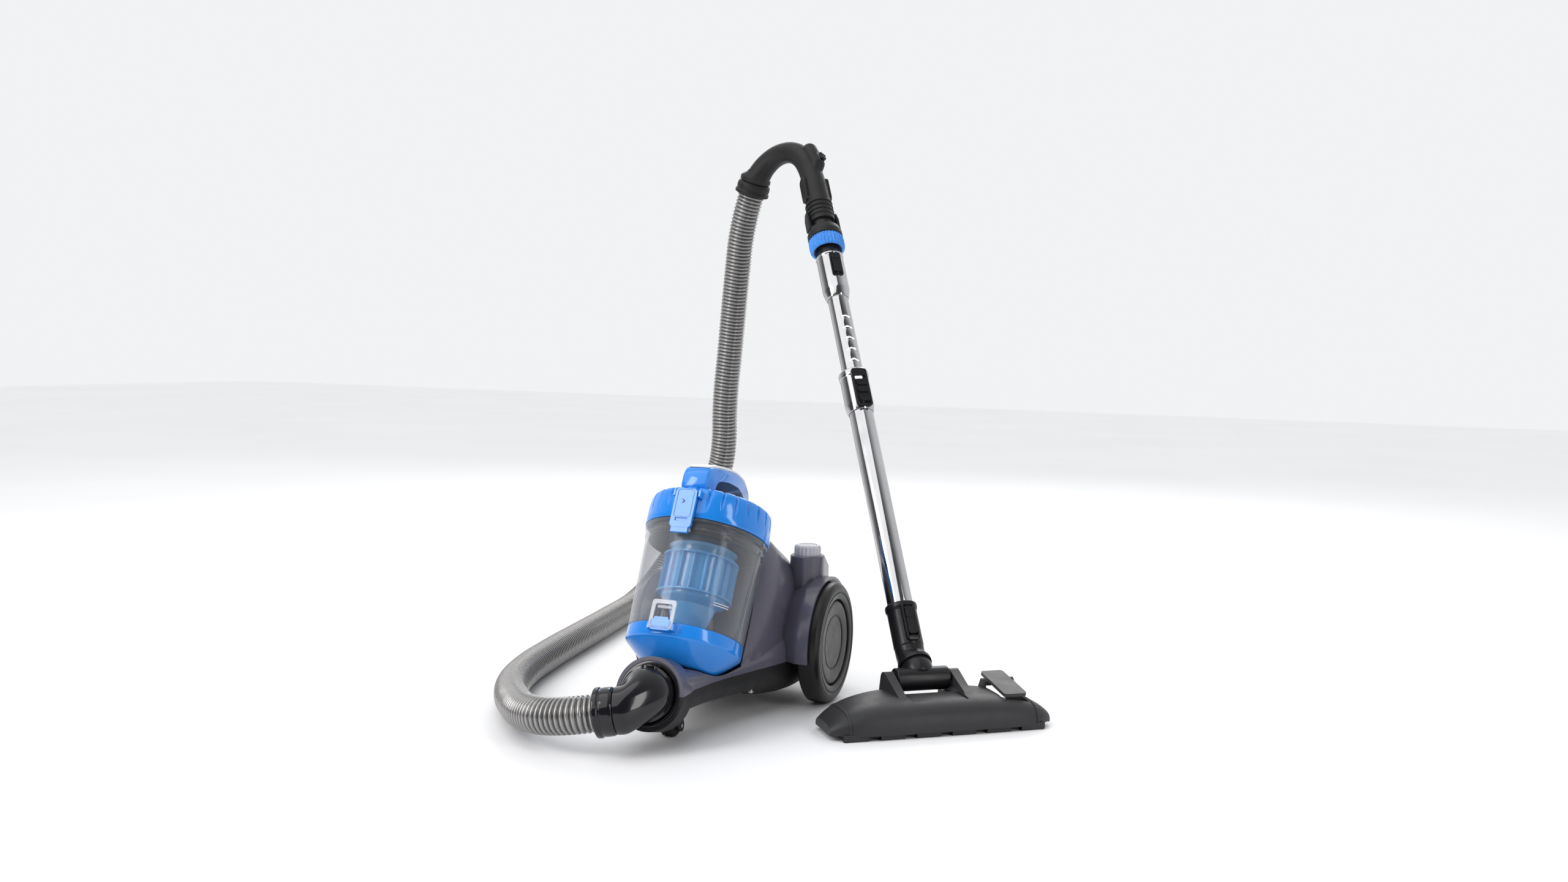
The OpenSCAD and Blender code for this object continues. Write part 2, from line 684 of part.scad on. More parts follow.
module bottom_door() {
    color(blue) in_cup() difference() {
        union() {
            rotate_extrude($fn = 96) polygon([
                [0, -43], [41, -43], [43, -42], [cup_r - 1.2, -18], [cup_r, -15], [cup_r, 0], [cup_r - 2.6, 0],
                [cup_r - 2.6, -15], [42, -39.8], [0, -40]
            ]);
            translate([-9.2, cup_r - 2.8, -7]) cube([18.4, 4.4, 6]);
            for (s = [-1, 1]) translate([s * 15.9 - 1.5, -cup_r - 7, -12]) cube([3, 12, 8]);
        }
        for (s = [-1, 1]) translate([s * 14 - 4.5, cup_r - 3.4, -6]) cube([9, 8, 8]);
        translate([-20, -cup_r - 4.5, -8]) rotate([0, 90, 0]) cylinder(r = 1.55, h = 40);
    }
    // Hinge pin
    color(blue) in_cup() translate([-17.5, cup_r, -2]) rotate([0, 90, 0]) cylinder(r = 1.5, h = 35);
}

module door_latch() {
    color(blue) in_cup() {
        for (s = [-1, 1]) translate([s * 12 - 2, -cup_r - 8, -10]) cube([4, 3.2, 32]);
        translate([-14, -cup_r - 8, -13]) cube([28, 5, 12]);
        translate([-14, -cup_r - 8, 18.4]) cube([28, 2.2, 4]);
        translate([-17, -cup_r - 4.5, -8]) rotate([0, 90, 0]) cylinder(r = 1.5, h = 34);
    }
}

// Hose ---------------------------------------------------------------------
hose_route = [
    [-38, -105, 50], [-63, -112, 46], [-87, -113, 42], [-111, -109, 38.5], [-132, -98, 35.5], [-152, -84, 33],
    [-170, -66, 31], [-188, -44, 29], [-208, -19, 27], [-227, 9, 25.4], [-245, 40, 24], [-262, 77, 23],
    [-276, 118, 22.4], [-288, 165, 22.4], [-297, 214, 22.4], [-306, 267, 22.4], [-314, 323, 22.4], [-322, 380, 22.4],
    [-330, 437, 22.4], [-339, 495, 22.4], [-347, 552, 22.6], [-350, 598, 27], [-347, 641, 41], [-339, 678, 66],
    [-326, 705, 100], [-309, 721, 139], [-287, 727, 180], [-264, 726, 221], [-246, 721, 263], [-238, 714, 307],
    [-235, 707, 353], [-230, 700, 400], [-223, 694, 450], [-216, 687, 500], [-208, 677, 550], [-199, 666, 600],
    [-190, 655, 645], [-178, 646, 688], [-165, 640, 725]
];

function unit(v) = v / norm(v);
function heading(i) = unit(hose_route[min(i + 1, len(hose_route) - 1)] - hose_route[max(i - 1, 0)]);
function side(i) =
    i == 0 ? unit(cross(heading(0), [0, 0, 1]))
           : let (s = side(i - 1), h = heading(i)) unit(s - h * (s * h));
function hose_ring(i, n, r) =
    let (s = side(i), u = cross(heading(i), s))
    [for (k = [0:n - 1]) hose_route[i] + r * (s * cos(360 * k / n) + u * sin(360 * k / n))];

// A closed skin through rings that run out along the outside and back along the inside
module loop_loft(rings) {
    n = len(rings[0]);
    m = len(rings);
    polyhedron(
        points = [for (r = rings) each r],
        faces = [for (i = [0:m - 1]) for (j = [0:n - 1]) for (k = [0, 1])
            let (i2 = (i + 1) % m, j2 = (j + 1) % n)
            k == 0 ? [i * n + j, i2 * n + j, i2 * n + j2] : [i * n + j, i2 * n + j2, i * n + j2]],
        convexity = 12
    );
}

module hose() {
    n = 12;
    color([0.55, 0.55, 0.56]) at_model() loop_loft(concat(
        [for (i = [0:len(hose_route) - 1]) hose_ring(i, n, hose_d / 2)],
        [for (i = [len(hose_route) - 1:-1:0]) hose_ring(i, n, hose_d / 2 - hose_wall)]
    ));
}

// Connector frame at each end of the hose, +Z towards the connector
module at_hose_end(i, away) {
    h = away * heading(i);
    at_model() translate(hose_route[i]) rotate([0, acos(h[2]), atan2(h[1], h[0])]) children();
}

module hose_connector() {
    color(black) difference() {
        union() {
            in_inlet() translate([0, 0, -23.9]) cylinder(r = 30, h = 32);
            in_inlet() translate([0, 0, 4]) cylinder(r = 33, h = 5);
            hull() {
                in_inlet() translate([0, 0, 7]) cylinder(r = 30, h = 8, $fn = hull_fn);
                at_hose_end(0, -1) translate([0, 0, 22]) cylinder(r = 25, h = 8, $fn = hull_fn);
            }
            at_hose_end(0, -1) translate([0, 0, 0.1]) cylinder(r = 21.6, h = 24);
        }
        in_inlet() translate([0, 0, -40]) cylinder(r = 17, h = 48);
        in_inlet() translate([-6, 22, -12]) cube([12, 20, 26]);
    }
}

module connector_button() {
    color(black) in_inlet() {
        translate([-5.6, 24, -10]) cube([11.2, 7.6, 22]);
        translate([-5.6, 30, 0]) cube([11.2, 3.4, 10]);
    }
}

module cuff_ring(r, h) {
    rotate_extrude() polygon([
        [22.6, -6], [r - 1, -6], [r, -4.6], [r, 0], [r - 1, 1], [r - 1, h - 3], [r - 3, h], [21.7, h], [21.7, 0.6], [22.6, 0.6]
    ]);
}

module front_cuff() { color(black) at_hose_end(0, -1) translate([0, 0, 0.2]) cuff_ring(29, 17); }
last = len(hose_route) - 1;
module handle_cuff() { color(black) at_hose_end(last, 1) translate([0, 0, 0.2]) cuff_ring(28, 14); }

// Handle -------------------------------------------------------------------
// Centre line of the handle in its own plane, as [across, up the wand]
grip_line = [
    [0, 800], [1, 824], [4, 848], [11, 872], [24, 892], [43, 905], [65, 909], [86, 904], [103, 893]
];

module at_grip(k) {
    p = grip_line[k];
    q = grip_line[min(k + 1, len(grip_line) - 1)];
    o = grip_line[max(k - 1, 0)];
    in_wand() rotate([0, 0, handle_twist]) translate([p[0], 0, p[1]])
        rotate([0, atan2(q[0] - o[0], q[1] - o[1]), 0]) children();
}

module handle_shell() {
    n = 24;
    radii = [19, 18.5, 18, 17.5, 17, 17, 17.5, 18.5, 20];
    rings = [for (k = [0:len(grip_line) - 1])
        let (
            q = grip_line[min(k + 1, len(grip_line) - 1)] - grip_line[max(k - 1, 0)],
            t = unit(q), nrm = [t[1], -t[0]]
        )
        [for (i = [0:n - 1]) let (a = 360 * i / n)
            [grip_line[k][0] + radii[k] * cos(a) * nrm[0], radii[k] * sin(a), grip_line[k][1] + radii[k] * cos(a) * nrm[1]]]];
    color(black) {
        difference() {
            union() {
                in_wand() translate([0, 0, sleeve_to]) cylinder(r1 = 21, r2 = 19.5, h = arc_from - sleeve_to);
                in_wand() translate([0, 0, handle_from]) cylinder(r = 17, h = sleeve_to - handle_from + 1);
                in_wand() rotate([0, 0, handle_twist]) loft(rings);
                // Air-control housing on the outside of the bend
                in_wand() rotate([0, 0, handle_twist]) hull() {
                    translate([-12, 0, 846]) sphere(r = 13, $fn = hull_fn);
                    translate([-4, 0, 878]) sphere(r = 13, $fn = hull_fn);
                }
            }
            in_wand() translate([0, 0, handle_from - 1]) cylinder(r = 13.5, h = arc_from - handle_from + 1);
            in_wand() rotate([0, 0, handle_twist]) translate([-27.5, -6, 846]) cube([8, 12, 22]);
        }
        hull() {
            at_grip(8) translate([0, 0, -2]) cylinder(r = 20, h = 4, $fn = hull_fn);
            at_hose_end(last, 1) translate([0, 0, 20]) cylinder(r = 25, h = 8, $fn = hull_fn);
        }
        at_hose_end(last, 1) translate([0, 0, 0.1]) cylinder(r = 21.6, h = 22);
    }
}

module air_slide() {
    color(black) in_wand() rotate([0, 0, handle_twist]) translate([-27, -5.6, 848]) {
        cube([4.6, 11.2, 11]);
        for (i = [0:2]) translate([-1, 0, 2 + i * 3]) cube([2, 11.2, 1.4]);
    }
}

module brush_collar() {
    color(black) in_wand() {
        difference() {
            union() {
                translate([0, 0, brush_to - 8]) cylinder(r = 27, h = 10);
                translate([0, 0, brush_to + 2]) cylinder(r1 = 27, r2 = 24, h = 8);
                for (s = [-1, 1]) translate([s * 23.6 - 2.4, -7, brush_to + 8]) cube([4.8, 14, 34]);
            }
            translate([0, 0, brush_from]) cylinder(r = 21.4, h = 80);
        }
    }
}

module brush_bristles() { color(blue) in_wand() tube(26.5, 21.6, brush_to - brush_from - 8, brush_from); }

// Wand ---------------------------------------------------------------------
module wand_socket() {
    color(steel) in_wand() difference() {
        union() {
            translate([0, 0, socket_from]) cylinder(r1 = upper_tube_d / 2 + 1, r2 = 20.5, h = 14);
            translate([0, 0, socket_from + 14]) cylinder(r = 20.5, h = socket_to - socket_from - 14);
        }
        translate([0, 0, socket_from - 1]) cylinder(r = upper_tube_d / 2, h = 26);
        translate([0, 0, socket_from + 24]) cylinder(r = 17.1, h = 80);
        translate([-5.5, -24, socket_from + 36]) cube([11, 10, 26]);
    }
}

module socket_button() {
    color(black) in_wand() {
        translate([-5, -23, socket_from + 37]) cube([10, 5.6, 24]);
        translate([-7, -26, socket_from + 34]) cube([14, 3.4, 34]);
    }
}

module upper_tube() {
    color(steel) in_wand() difference() {
        translate([0, 0, utube_from]) cylinder(d = upper_tube_d, h = socket_from + 24 - utube_from);
        translate([0, 0, utube_from - 1]) cylinder(d = upper_tube_d - 2 * tube_wall, h = 500);
        for (i = [0:4]) translate([0, -upper_tube_d / 2 - 3, 478 + 19 * i]) rotate([0, 90, 0])
            translate([0, 0, -8]) cylinder(r = 5, h = 16);
    }
}

module lower_tube() {
    color(steel) in_wand() tube(lower_tube_d / 2, upper_tube_d / 2 + 0.08, ltube_to + 30 - tube_from, tube_from);
}

module telescope_collar() {
    color(steel) in_wand() difference() {
        union() {
            translate([0, 0, ltube_to]) cylinder(r1 = lower_tube_d / 2 + 1, r2 = 21, h = 10);
            translate([0, 0, ltube_to + 10]) cylinder(r = 21, h = collar_to - ltube_to - 20);
            translate([0, 0, collar_to - 10]) cylinder(r = 22, h = 10);
        }
        translate([0, 0, ltube_to - 1]) cylinder(r = lower_tube_d / 2, h = 31);
        translate([0, 0, ltube_to]) cylinder(r = upper_tube_d / 2 + 0.1, h = 90);
        translate([-8.2, -30, ltube_to + 6]) cube([16.4, 13, 46]);
    }
}

module telescope_button() {
    color(black) in_wand() {
        translate([-8, -22.6, ltube_to + 9]) cube([16, 4.6, 36]);
        translate([-8, -25, ltube_to + 9]) cube([16, 4, 10]);
        translate([-8, -25, ltube_to + 35]) cube([16, 4, 10]);
        translate([-8, -26, ltube_to + 22]) cube([16, 6, 10]);
    }
}

module neck_connector() {
    color(black) in_wand() difference() {
        union() {
            translate([0, 0, neck_from + 12]) cylinder(r = 20, h = neck_to - neck_from - 12);
            translate([0, 0, neck_to - 8]) cylinder(r = 21.6, h = 8);
            translate([-9, -24, neck_from + 16]) cube([18, 12, 54]);
        }
        translate([0, 0, tube_from]) cylinder(r = lower_tube_d / 2, h = 90);
        translate([0, 0, neck_from]) cylinder(r = 15, h = 90);
        translate([-6.4, -26, neck_from + 22]) cube([12.8, 7, 42]);
    }
}

module neck_button() {
    color(black) in_wand() {
        translate([-6, -25.4, neck_from + 24]) cube([12, 4.4, 38]);
        translate([-6, -26.6, neck_from + 46]) cube([12, 4, 14]);
    }
}

// Swivel axis of the neck, leaning further back than the wand
swivel_lean = 56;

module in_swivel() { in_head() translate([0, 0, pivot_z]) rotate([-swivel_lean, 0, 0]) children(); }

module elbow() {
    color(black) difference() {
        union() {
            hull() {
                in_swivel() translate([0, 0, 23]) cylinder(r = 21, h = 6, $fn = hull_fn);
                in_wand() translate([0, 0, neck_from + 6]) cylinder(r = 19.5, h = 5.8, $fn = hull_fn);
            }
            in_swivel() translate([0, 0, 22]) cylinder(r = 22.5, h = 5);
        }
        in_swivel() translate([0, 0, 20]) cylinder(r = 14.05, h = 8);
    }
}

module yoke() {
    color(black) {
        in_head() translate([-36, 0, pivot_z]) rotate([0, 90, 0]) cylinder(r = 15, h = 72);
        in_head() translate([-50, 0, pivot_z]) rotate([0, 90, 0]) cylinder(r = 4, h = 100);
        in_swivel() cylinder(r = 20, h = 21.7);
        in_swivel() cylinder(r = 14, h = 27);
    }
}

// Floor head, +Y of its frame is backwards -----------------------------------
head_front = -88;
head_back = 34;

function head_ring(x, t = 0, n = 18) =
    let (
        e = abs(x) / (head_l / 2),
        top = head_h - 14 * pow(e, 3) - 10 * pow(e, 10) - t,
        back = head_back - 52 * pow(e, 2.2) - t,
        front = head_front + 16 * pow(e, 8) + t,
        mid = (front + back) / 2,
        half = (back - front) / 2
    )
    concat(
        [[x, back, t > 0 ? -2 : 6]],
        [for (i = [0:n]) let (a = 180 * i / n)
            [x, mid + half * power(cos(a), 0.62), 8 + (top - 8) * power(sin(a), 0.8)]],
        [[x, front, t > 0 ? -2 : 6]]
    );

module head_shell() {
    color(black) in_head() difference() {
        union() {
            loft([for (x = spread(-head_l / 2, head_l / 2, 26)) head_ring(x)]);
            for (s = [-1, 1]) hull() {
                translate([s * 45 - 6, 0, pivot_z]) rotate([0, 90, 0]) cylinder(r = 11, h = 12, $fn = hull_fn);
                translate([s * 45 - 6, -46, 30]) cube([12, 60, 4]);
            }
            // Ears and pivot of the pedal
            for (x = [80, 120.4]) hull() {
                translate([x, -12, 45]) rotate([0, 90, 0]) cylinder(r = 5, h = 3.6, $fn = hull_fn);
                translate([x, -20, 30]) cube([3.6, 16, 2]);
            }
        }
        loft([for (x = spread(wall - head_l / 2, head_l / 2 - wall, 12)) head_ring(x, wall, 10)]);
        // Room for the yoke
        translate([-38, -22, 10]) cube([76, 90, 70]);
        translate([-60, 0, pivot_z]) rotate([0, 90, 0]) cylinder(r = 4.05, h = 120);
        // Slot of the pedal
        translate([84, -68, 20]) cube([36, 82, 60]);
    }
    color(black) in_head() translate([82, -12, 45]) rotate([0, 90, 0]) cylinder(r = 1.95, h = 40);
}

module head_sole() {
    color(black) in_head() difference() {
        union() {
            translate([-head_l / 2 + 14, head_front + 8, 2]) cube([head_l - 28, 60, 4]);
            for (i = [0:5]) translate([-head_l / 2 + 14 + i * 47, head_front + 4, 0]) cube([32, 7, 6]);
            for (s = [-1, 1]) translate([s * 34 - 1.5, -24, 3]) cube([3, 42, 30]);
        }
        translate([-110, head_front + 24, -1]) cube([220, 14, 12]);
        for (y = [head_front + 14.4, head_front + 45.4]) translate([-119, y, 1]) cube([238, 5.2, 12]);
        translate([-60, 6, 9]) rotate([0, 90, 0]) cylinder(r = 2.05, h = 120);
    }
}

module head_pedal() {
    color(black) in_head() difference() {
        union() {
            translate([86, -66, 38]) rotate([10, 0, 0]) cube([32, 74, 5]);
            translate([86, -12, 45]) rotate([0, 90, 0]) cylinder(r = 5, h = 32);
        }
        translate([80, -12, 45]) rotate([0, 90, 0]) cylinder(r = 2, h = 44);
    }
}

module brush_strips() {
    color(black) in_head() for (y = [head_front + 15, head_front + 46]) {
        translate([-118, y, 7.4]) cube([236, 4, 4]);
        translate([-116, y + 0.8, 2.6]) cube([232, 2.4, 5]);
    }
}

module head_rollers() {
    color(pale) in_head() {
        translate([-46, 6, 9]) rotate([0, 90, 0]) cylinder(r = 2, h = 92);
        for (s = [-1, 1]) translate([s * 42 - 4, 6, 9]) rotate([0, 90, 0]) cylinder(r = 9, h = 8);
    }
}

lower_housing();
upper_housing();
inlet_collar();
inlet_duct();
motor_bucket();
motor_stator();
motor_rotor();
impeller();
exhaust_frame();
exhaust_pleats();
exhaust_cover();
cord_outlet();
cord_drum();
brake_lever();
power_switch();
power_button();
rewind_button();
housing_screws();
wheel_axles();
left_wheel();
right_wheel();
left_hubcap();
right_hubcap();
caster_fork();
caster_axle();
caster_wheel();
cup_body();
cyclone_shroud();
filter_frame();
filter_pleats();
lid_seal();
cup_lid();
handle_skin();
lid_latch();
bottom_door();
door_latch();
hose();
hose_connector();
connector_button();
front_cuff();
handle_cuff();
handle_shell();
air_slide();
brush_collar();
brush_bristles();
wand_socket();
socket_button();
upper_tube();
lower_tube();
telescope_collar();
telescope_button();
neck_connector();
neck_button();
elbow();
yoke();
head_shell();
head_sole();
head_pedal();
brush_strips();
head_rollers();
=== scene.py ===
import math
import bpy
import bmesh
from mathutils import Matrix, Vector


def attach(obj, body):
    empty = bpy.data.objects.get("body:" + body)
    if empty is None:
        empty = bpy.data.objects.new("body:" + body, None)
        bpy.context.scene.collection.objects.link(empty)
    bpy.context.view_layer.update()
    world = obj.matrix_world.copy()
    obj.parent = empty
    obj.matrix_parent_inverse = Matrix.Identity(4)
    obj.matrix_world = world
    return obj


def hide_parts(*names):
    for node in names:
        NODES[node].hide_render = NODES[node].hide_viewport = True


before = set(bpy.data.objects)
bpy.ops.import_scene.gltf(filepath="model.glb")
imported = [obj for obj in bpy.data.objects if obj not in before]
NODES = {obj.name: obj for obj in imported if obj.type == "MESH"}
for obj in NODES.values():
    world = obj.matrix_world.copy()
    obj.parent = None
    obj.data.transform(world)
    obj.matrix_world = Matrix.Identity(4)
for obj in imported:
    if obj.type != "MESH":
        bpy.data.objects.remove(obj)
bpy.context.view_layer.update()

SIDE = {-1: "left", 1: "right"}
ADD, CUT = "UNION", "DIFFERENCE"


# Frames: millimetres in, metres in the row frame out ---------------------------------------
def T(x, y, z):
    return Matrix.Translation((x, y, z))


def R(angle, axis):
    return Matrix.Rotation(math.radians(angle), 4, axis)


MODEL = Matrix.Scale(0.001, 4) @ T(-105.4, -265.8, 0)
CUP = MODEL @ T(0, 39.5, 112) @ R(-27, "X")
HEAD = MODEL @ T(255, 207, 0) @ R(38, "Z")
WAND = HEAD @ T(0, 20.5, 51) @ R(-33.8, "X")
SWIVEL = HEAD @ T(0, 0, 51) @ R(-56, "X")
GRIP = WAND @ R(125, "Z")


def placed(name, data):
    made = bpy.data.objects.new(name, data)
    bpy.context.collection.objects.link(made)
    return made


# Camera -------------------------------------------------------------------------------------
def camera():
    data = bpy.data.cameras.new("camera")
    data.sensor_width = 36.0
    data.lens = 31.38
    cam = placed("camera", data)
    right = Vector((0.9369, 0.3489, 0.0226)).normalized()
    back = Vector((0.3466, -0.9354, 0.0705)).normalized()
    up = back.cross(right).normalized()
    right = up.cross(back)
    where = MODEL @ Vector((683.9, -1474.3, 474.0))
    cam.matrix_world = Matrix((
        (right.x, up.x, back.x, where.x),
        (right.y, up.y, back.y, where.y),
        (right.z, up.z, back.z, where.z),
        (0, 0, 0, 1),
    ))
    bpy.context.scene.camera = cam


camera()


# Shader helpers -----------------------------------------------------------------------------
class Shader:
    """A small wrapper for building one material's node tree."""

    def __init__(self, name):
        self.mat = bpy.data.materials.new(name)
        self.mat.use_nodes = True
        self.tree = self.mat.node_tree
        self.bsdf = self.tree.nodes["Principled BSDF"]
        self.coords = self.tree.nodes.new("ShaderNodeTexCoord").outputs["Object"]

    def node(self, kind, **values):
        """Adds a node. A value whose name has a capital letter goes to that input socket."""
        made = self.tree.nodes.new(kind)
        for key, value in values.items():
            if key[0].isupper():
                made.inputs[key.replace("_", " ")].default_value = value
            else:
                setattr(made, key, value)
        return made

    def link(self, a, b):
        self.tree.links.new(a, b)

    def set(self, **values):
        for key, value in values.items():
            self.bsdf.inputs[key.replace("_", " ")].default_value = value
        return self

    def stretched(self, scale):
        mapping = self.node("ShaderNodeMapping", Scale=scale)
        self.link(self.coords, mapping.inputs["Vector"])
        return mapping.outputs["Vector"]

    def noise(self, scale, detail=3.0, rough=0.55, stretch=None):
        made = self.node("ShaderNodeTexNoise", Scale=scale, Detail=detail, Roughness=rough)
        self.link(self.stretched(stretch) if stretch else self.coords, made.inputs["Vector"])
        return made.outputs["Fac"]

    def remap(self, value, a, b, low=0.3, high=0.7):
        made = self.node("ShaderNodeMapRange", From_Min=low, From_Max=high, To_Min=a, To_Max=b)
        self.link(value, made.inputs["Value"])
        return made.outputs["Result"]

    def blend_colours(self, value, a, b, low=0.3, high=0.7):
        ramp = self.node("ShaderNodeValToRGB")
        for stop, place, colour in zip(ramp.color_ramp.elements, (low, high), (a, b)):
            stop.position = place
            stop.color = (*colour, 1)
        self.link(value, ramp.inputs["Fac"])
        return ramp.outputs["Color"]

    def colour(self, value):
        self.link(value, self.bsdf.inputs["Base Color"])
        return self

    def roughness(self, value):
        self.link(value, self.bsdf.inputs["Roughness"])
        return self

    def bump(self, height, strength, distance, rounding=0.0):
        made = self.node("ShaderNodeBump", Strength=strength, Distance=distance)
        self.link(height, made.inputs["Height"])
        if rounding:
            soft = self.node("ShaderNodeBevel", samples=4, Radius=rounding)
            self.link(soft.outputs["Normal"], made.inputs["Normal"])
        self.link(made.outputs["Normal"], self.bsdf.inputs["Normal"])
        return self


def shade(colour, k):
    return tuple(min(1.0, c * k) for c in colour)


def moulded(name, colour, rough=0.4, spread=0.08, grain=0.25, grain_scale=2600.0, rounding=0.0005, **extra):
    """Injection-moulded plastic: spark-eroded grain, faint flow marks and handling haze."""
    s = Shader(name)
    flow = s.noise(9.0, 4.0)
    s.colour(s.blend_colours(flow, shade(colour, 0.9), shade(colour, 1.1)))
    haze = s.noise(55.0, 5.0, 0.65)
    s.roughness(s.remap(haze, rough - spread, rough + spread))
    s.bump(s.noise(grain_scale, 2.0), grain, 0.00012, rounding)
    s.set(Specular_IOR_Level=0.27)
    s.set(**extra)
    return s.mat


M = {
    "slate": moulded("slate_moulding", (0.088, 0.085, 0.118), 0.3, 0.05, 0.05, 1800.0, 0.0007,
                     Coat_Weight=0.45, Coat_Roughness=0.18),
    "black": moulded("black_moulding", (0.011, 0.011, 0.0125), 0.42, 0.07, 0.3),
    "satin": moulded("black_satin", (0.010, 0.010, 0.0115), 0.3, 0.05, 0.12),
    "gloss": moulded("black_gloss", (0.007, 0.007, 0.010), 0.13, 0.04, 0.04, Coat_Weight=0.4),
    "grained": moulded("black_grained", (0.013, 0.013, 0.014), 0.5, 0.06, 0.5, 1500.0),
    "head": moulded("head_moulding", (0.028, 0.028, 0.030), 0.44, 0.06, 0.35, 1800.0, 0.0008),
    "panel": moulded("head_panel", (0.048, 0.048, 0.050), 0.42, 0.05, 0.3, 1800.0, 0.0006),
    "blue": moulded("blue_gloss", (0.012, 0.215, 0.70), 0.2, 0.05, 0.05, rounding=0.0006,
                    Coat_Weight=0.55, Coat_Roughness=0.06, Subsurface_Weight=0.06),
    "pale": moulded("pale_moulding", (0.50, 0.50, 0.53), 0.33, 0.05, 0.12),
    "white": moulded("white_moulding", (0.78, 0.78, 0.78), 0.4, 0.05, 0.12),
    "core": moulded("core_blue", (0.10, 0.34, 0.70), 0.25, 0.05, 0.05, Coat_Weight=0.4),
    "rubber": moulded("soft_rubber", (0.016, 0.016, 0.016), 0.7, 0.06, 0.4, 1200.0),
    "rim": moulded("wheel_moulding", (0.012, 0.012, 0.013), 0.36, 0.06, 0.25, 1900.0, 0.0006),
}


def knob_plastic():
    s = Shader("pale_translucent")
    s.colour(s.blend_colours(s.noise(14.0), (0.42, 0.42, 0.46), (0.58, 0.58, 0.62)))
    s.roughness(s.remap(s.noise(60.0, 4.0), 0.16, 0.3))
    s.bump(s.noise(1800.0, 2.0), 0.06, 0.0001, 0.0004)
    s.set(Coat_Weight=0.3, Subsurface_Weight=0.3)
    s.bsdf.inputs["Subsurface Radius"].default_value = (0.004, 0.004, 0.005)
    return s.mat


def clear_plastic(name, tint, alpha):
    s = Shader(name)
    s.colour(s.blend_colours(s.noise(6.0, 2.0), shade(tint, 0.9), shade(tint, 1.1)))
    s.roughness(s.remap(s.noise(80.0, 5.0), 0.03, 0.1))
    layer = s.node("ShaderNodeLayerWeight", Blend=0.42)
    s.link(s.remap(layer.outputs["Facing"], alpha, min(1.0, alpha + 0.5), 0.0, 1.0), s.bsdf.inputs["Alpha"])
    s.set(Coat_Weight=0.5, Coat_Roughness=0.03)
    return s.mat


def chrome(name, along):
    """Polished tube with fine drawn lines along the wand's axis and faint fingerprints."""
    s = Shader(name)
    aligned = s.node("ShaderNodeMapping", Rotation=along)
    s.link(s.coords, aligned.inputs["Vector"])
    squeezed = s.node("ShaderNodeMapping", Scale=(1.0, 1.0, 0.01))
    s.link(aligned.outputs["Vector"], squeezed.inputs["Vector"])
    lines = s.node("ShaderNodeTexNoise", Scale=1400.0, Detail=3.0)
    s.link(squeezed.outputs["Vector"], lines.inputs["Vector"])
    s.colour(s.blend_colours(s.noise(20.0, 3.0), (0.46, 0.46, 0.475), (0.54, 0.54, 0.555)))
    s.roughness(s.remap(s.noise(45.0, 5.0, 0.7), 0.06, 0.15))
    s.bump(lines.outputs["Fac"], 0.08, 0.00008, 0.0003)
    s.set(Metallic=1.0)
    return s.mat


def turned_metal(name, colour, rough):
    s = Shader(name)
    s.colour(s.blend_colours(s.noise(90.0), shade(colour, 0.85), shade(colour, 1.1)))
    s.roughness(s.remap(s.noise(300.0, 4.0), rough - 0.06, rough + 0.08))
    s.bump(s.noise(2200.0, 2.0), 0.15, 0.0001, 0.0003)
    s.set(Metallic=1.0)
    return s.mat


def hose_plastic():
    """Metallic-grey hose with painted shade: the colour darkens from the bright crests into the valleys
    between the ribs.
    """
    s = Shader("hose_corrugated")
    rib = s.node("ShaderNodeAttribute", attribute_name="rib")
    speck = s.noise(900.0, 3.0)
    # Painted shade: the rib height darkens the colour from crest to valley
    painted_valley_shade = s.blend_colours(rib.outputs["Fac"], (0.05, 0.049, 0.048), (0.30, 0.292, 0.288), 0.05, 0.8)
    mix = s.node("ShaderNodeMix", data_type="RGBA", blend_type="MULTIPLY", Factor=0.03)
    s.link(painted_valley_shade, mix.inputs[6])
    s.link(s.blend_colours(speck, (0.7, 0.7, 0.7), (1.0, 1.0, 1.0)), mix.inputs[7])
    s.colour(mix.outputs[2])
    s.roughness(s.remap(s.noise(120.0, 4.0), 0.2, 0.34))
    s.bump(s.noise(1500.0, 2.0), 0.12, 0.0001)
    s.set(Metallic=0.55, Coat_Weight=0.3, Coat_Roughness=0.15)
    return s.mat


def paper():
    s = Shader("pleated_paper")
    s.colour(s.blend_colours(s.noise(700.0, 6.0, 0.7), (0.72, 0.71, 0.68), (0.86, 0.86, 0.84)))
    s.set(Roughness=0.9, Sheen_Weight=0.2)
    s.bump(s.noise(1600.0, 4.0, 0.7), 0.5, 0.0002)
    return s.mat


def windings():
    s = Shader("copper_winding")
    wave = s.node("ShaderNodeTexWave", bands_direction="X", Scale=260.0, Distortion=0.6)
    s.link(s.coords, wave.inputs["Vector"])
    # Painted shade: the colour darkens into the grooves between the turns, following the bump
    s.colour(s.blend_colours(wave.outputs["Fac"], (0.30, 0.11, 0.04), (0.75, 0.33, 0.14), 0.1, 0.8))
    s.set(Metallic=0.9, Roughness=0.32, Coat_Weight=0.6)
    s.bump(wave.outputs["Fac"], 0.6, 0.0003)
    return s.mat


def tufts(name, root, tip):
    s = Shader(name)
    s.colour(s.blend_colours(s.noise(600.0, 2.0, 0.5, (1.0, 1.0, 0.08)), root, tip))
    s.set(Roughness=0.55, Sheen_Weight=0.4)
    s.bump(s.noise(1400.0, 2.0, 0.5, (1.0, 1.0, 0.05)), 0.6, 0.0003)
    return s.mat


